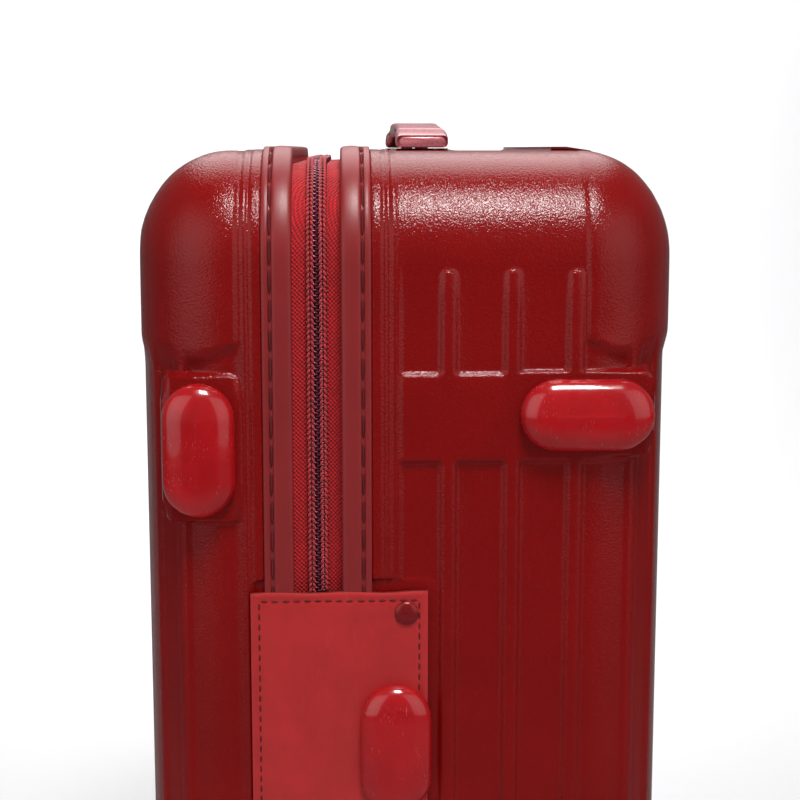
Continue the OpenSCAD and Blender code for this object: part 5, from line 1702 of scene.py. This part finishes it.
def buckle(name, z_middle):
    body = [(-30, 12.5, 1.6), (-29.2, 14, 2.4), (-26, 15.6, 3.2), (-12, 18.2, 4.3), (2, 18.8, 4.45), (6.6, 18.4, 4.3),
            (7.4, 17.8, 3.8)]
    plug = [(9, 16.8, 3.4), (9.8, 17.8, 4.0), (14, 18.6, 4.2), (22, 17.6, 3.6), (28.6, 14.4, 2.6), (30, 12.5, 1.6)]
    parts = [buckle_loft("body", z_middle, body), buckle_loft("plug", z_middle, plug),
             buckle_loft("tongue", z_middle, [(5, 12.5, 2.2), (11, 12.5, 2.2)])]
    for s in (-1, 1):
        arm = [(-9, 0.6, 0.9), (-7, 1.6, 1.8), (-1, 2.0, 2.4), (5, 1.7, 2.2), (10, 1.3, 1.9)]
        parts.append(buckle_loft("arm", z_middle, arm, v_middle=s * 17.6 - s * 0.6))
    for u in (14.0, 17.0, 20.0):
        rib = [(u - 0.7, 12.6, 4.1), (u - 0.3, 13.0, 4.45), (u + 0.3, 13.0, 4.45), (u + 0.7, 12.6, 4.1)]
        parts.append(buckle_loft("finger_rib", z_middle, rib))
    obj = joined(name, parts)
    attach(obj, "case")
    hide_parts("strap_buckles")
    return obj


for level, s in (("upper", 1), ("lower", -1)):
    clip = buckle(f"{level}_strap_buckle", SHELL_Z + s * STRAP_RISE)
    print(clip.name, len(clip.data.polygons), "faces")

# %% [markdown]
# ## The lid's pocket
#
# A sheet of mesh cloth is sewn to the front lining on all sides and opens with a zip along its top. It bellies out
# most in the middle and is gathered at its sewn edge, so the grid has a low dome plus small pulls that fade away
# from the seam. A bound edge and a row of zip teeth finish it.

# %% Pocket
POCKET_X, POCKET_Z, POCKET_HALF_X, POCKET_HALF_Z, POCKET_R = 1.75, 306.0, 150.0, 165.0, 20.0
POCKET_BACK, POCKET_BELLY, POCKET_CLOTH = -104.6, 3.4, 0.5


def pocket_outline(u, v):
    """A square of -1 to 1 pressed into the pocket's rounded rectangle, in mm from its middle."""
    x, z = u * POCKET_HALF_X, v * POCKET_HALF_Z
    cx, cz = POCKET_HALF_X - POCKET_R, POCKET_HALF_Z - POCKET_R
    past = np.hypot(np.maximum(np.abs(x) - cx, 0), np.maximum(np.abs(z) - cz, 0))
    reach = np.maximum(np.maximum(np.abs(x) - cx, 0), np.maximum(np.abs(z) - cz, 0))
    pull = np.where(past > 0, reach / np.maximum(past, 1e-9), 1.0)
    dx, dz = np.maximum(np.abs(x) - cx, 0) * (1 - pull), np.maximum(np.abs(z) - cz, 0) * (1 - pull)
    return x - np.sign(x) * dx, z - np.sign(z) * dz


def build_pocket():
    us, vs = np.linspace(-1, 1, 73), np.linspace(-1, 1, 81)
    u, v = np.meshgrid(us, vs)
    x, z = pocket_outline(u, v)
    inset = np.minimum((1 - np.abs(u)) * POCKET_HALF_X, (1 - np.abs(v)) * POCKET_HALF_Z)
    dome = (1 - np.abs(u) ** 3) * (1 - np.abs(v) ** 3)
    pulls = 0.35 * np.sin(x * 0.33 + 1) * np.sin(z * 0.29) * np.exp(-inset / 22)
    drape = 0.3 * np.sin(x * 0.05 + z * 0.02) * dome
    y = POCKET_BACK + 0.4 + POCKET_BELLY * np.clip(dome * 0.8 + pulls * soft_step(inset, 2, 8) + drape * 0.5, 0, 1)
    front = np.stack([POCKET_X + x, y, POCKET_Z + z], -1).reshape(-1, 3)
    back = front - np.array([0, POCKET_CLOTH, 0])
    rows, cols = u.shape
    half, faces = rows * cols, []
    for j in range(rows - 1):
        for i in range(cols - 1):
            a = j * cols + i
            faces.append((a, a + cols, a + cols + 1, a + 1))
            faces.append((half + a, half + a + 1, half + a + cols + 1, half + a + cols))
    ring = border_of(rows, cols)
    faces += [(a, b, half + b, half + a) for a, b in zip(ring, ring[1:] + ring[:1])]
    obj = new_mesh("lid_pocket_cloth", np.concatenate([front, back]), faces)
    recalculated(obj)
    crease(obj, 60)
    obj.data.materials.append(CLOTH["pocket"])
    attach(obj, "lid")
    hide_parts("front_pocket")
    return obj, front[ring]


pocket, pocket_edge = build_pocket()
binding = tube_along("lid_pocket_binding", pocket_edge + np.array([0, 0.2, 0]), 1.3, CLOTH["piping"])
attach(binding, "lid")
print(pocket.name, len(pocket.data.polygons), "faces;", binding.name, len(binding.data.polygons), "faces")

# %% The pocket's zip
POCKET_TEETH, POCKET_ZIP_HALF, POCKET_ZIP_DOWN = 112, 124.0, 24.0


def pocket_zip():
    z = POCKET_Z + POCKET_HALF_Z - POCKET_ZIP_DOWN
    across, out, along = np.array([0, 0, 1.0]), np.array([0, 1.0, 0]), np.array([1.0, 0, 0])
    places = []
    for x in np.linspace(POCKET_X - POCKET_ZIP_HALF, POCKET_X + POCKET_ZIP_HALF, POCKET_TEETH):
        lift = POCKET_BACK + 0.4 + POCKET_BELLY * 0.8 * float((1 - abs((x - POCKET_X) / POCKET_HALF_X) ** 3)
                                                           * (1 - abs((z - POCKET_Z) / POCKET_HALF_Z) ** 3)) + 0.35
        places.append((np.array([x, lift, z]), across, along, out))
    return scatter("lid_pocket_zip_teeth", spindle(4.2, 0.75, 0.3, 6, 5), places, METAL["dark"])


teeth = pocket_zip()
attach(teeth, "lid")
print(teeth.name, len(teeth.data.polygons), "faces")

# %% [markdown]
# ## The size of the looks
#
# The looks must not make the case bigger than its CAD model.

# %% Measure the bounds of the looks
low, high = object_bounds()
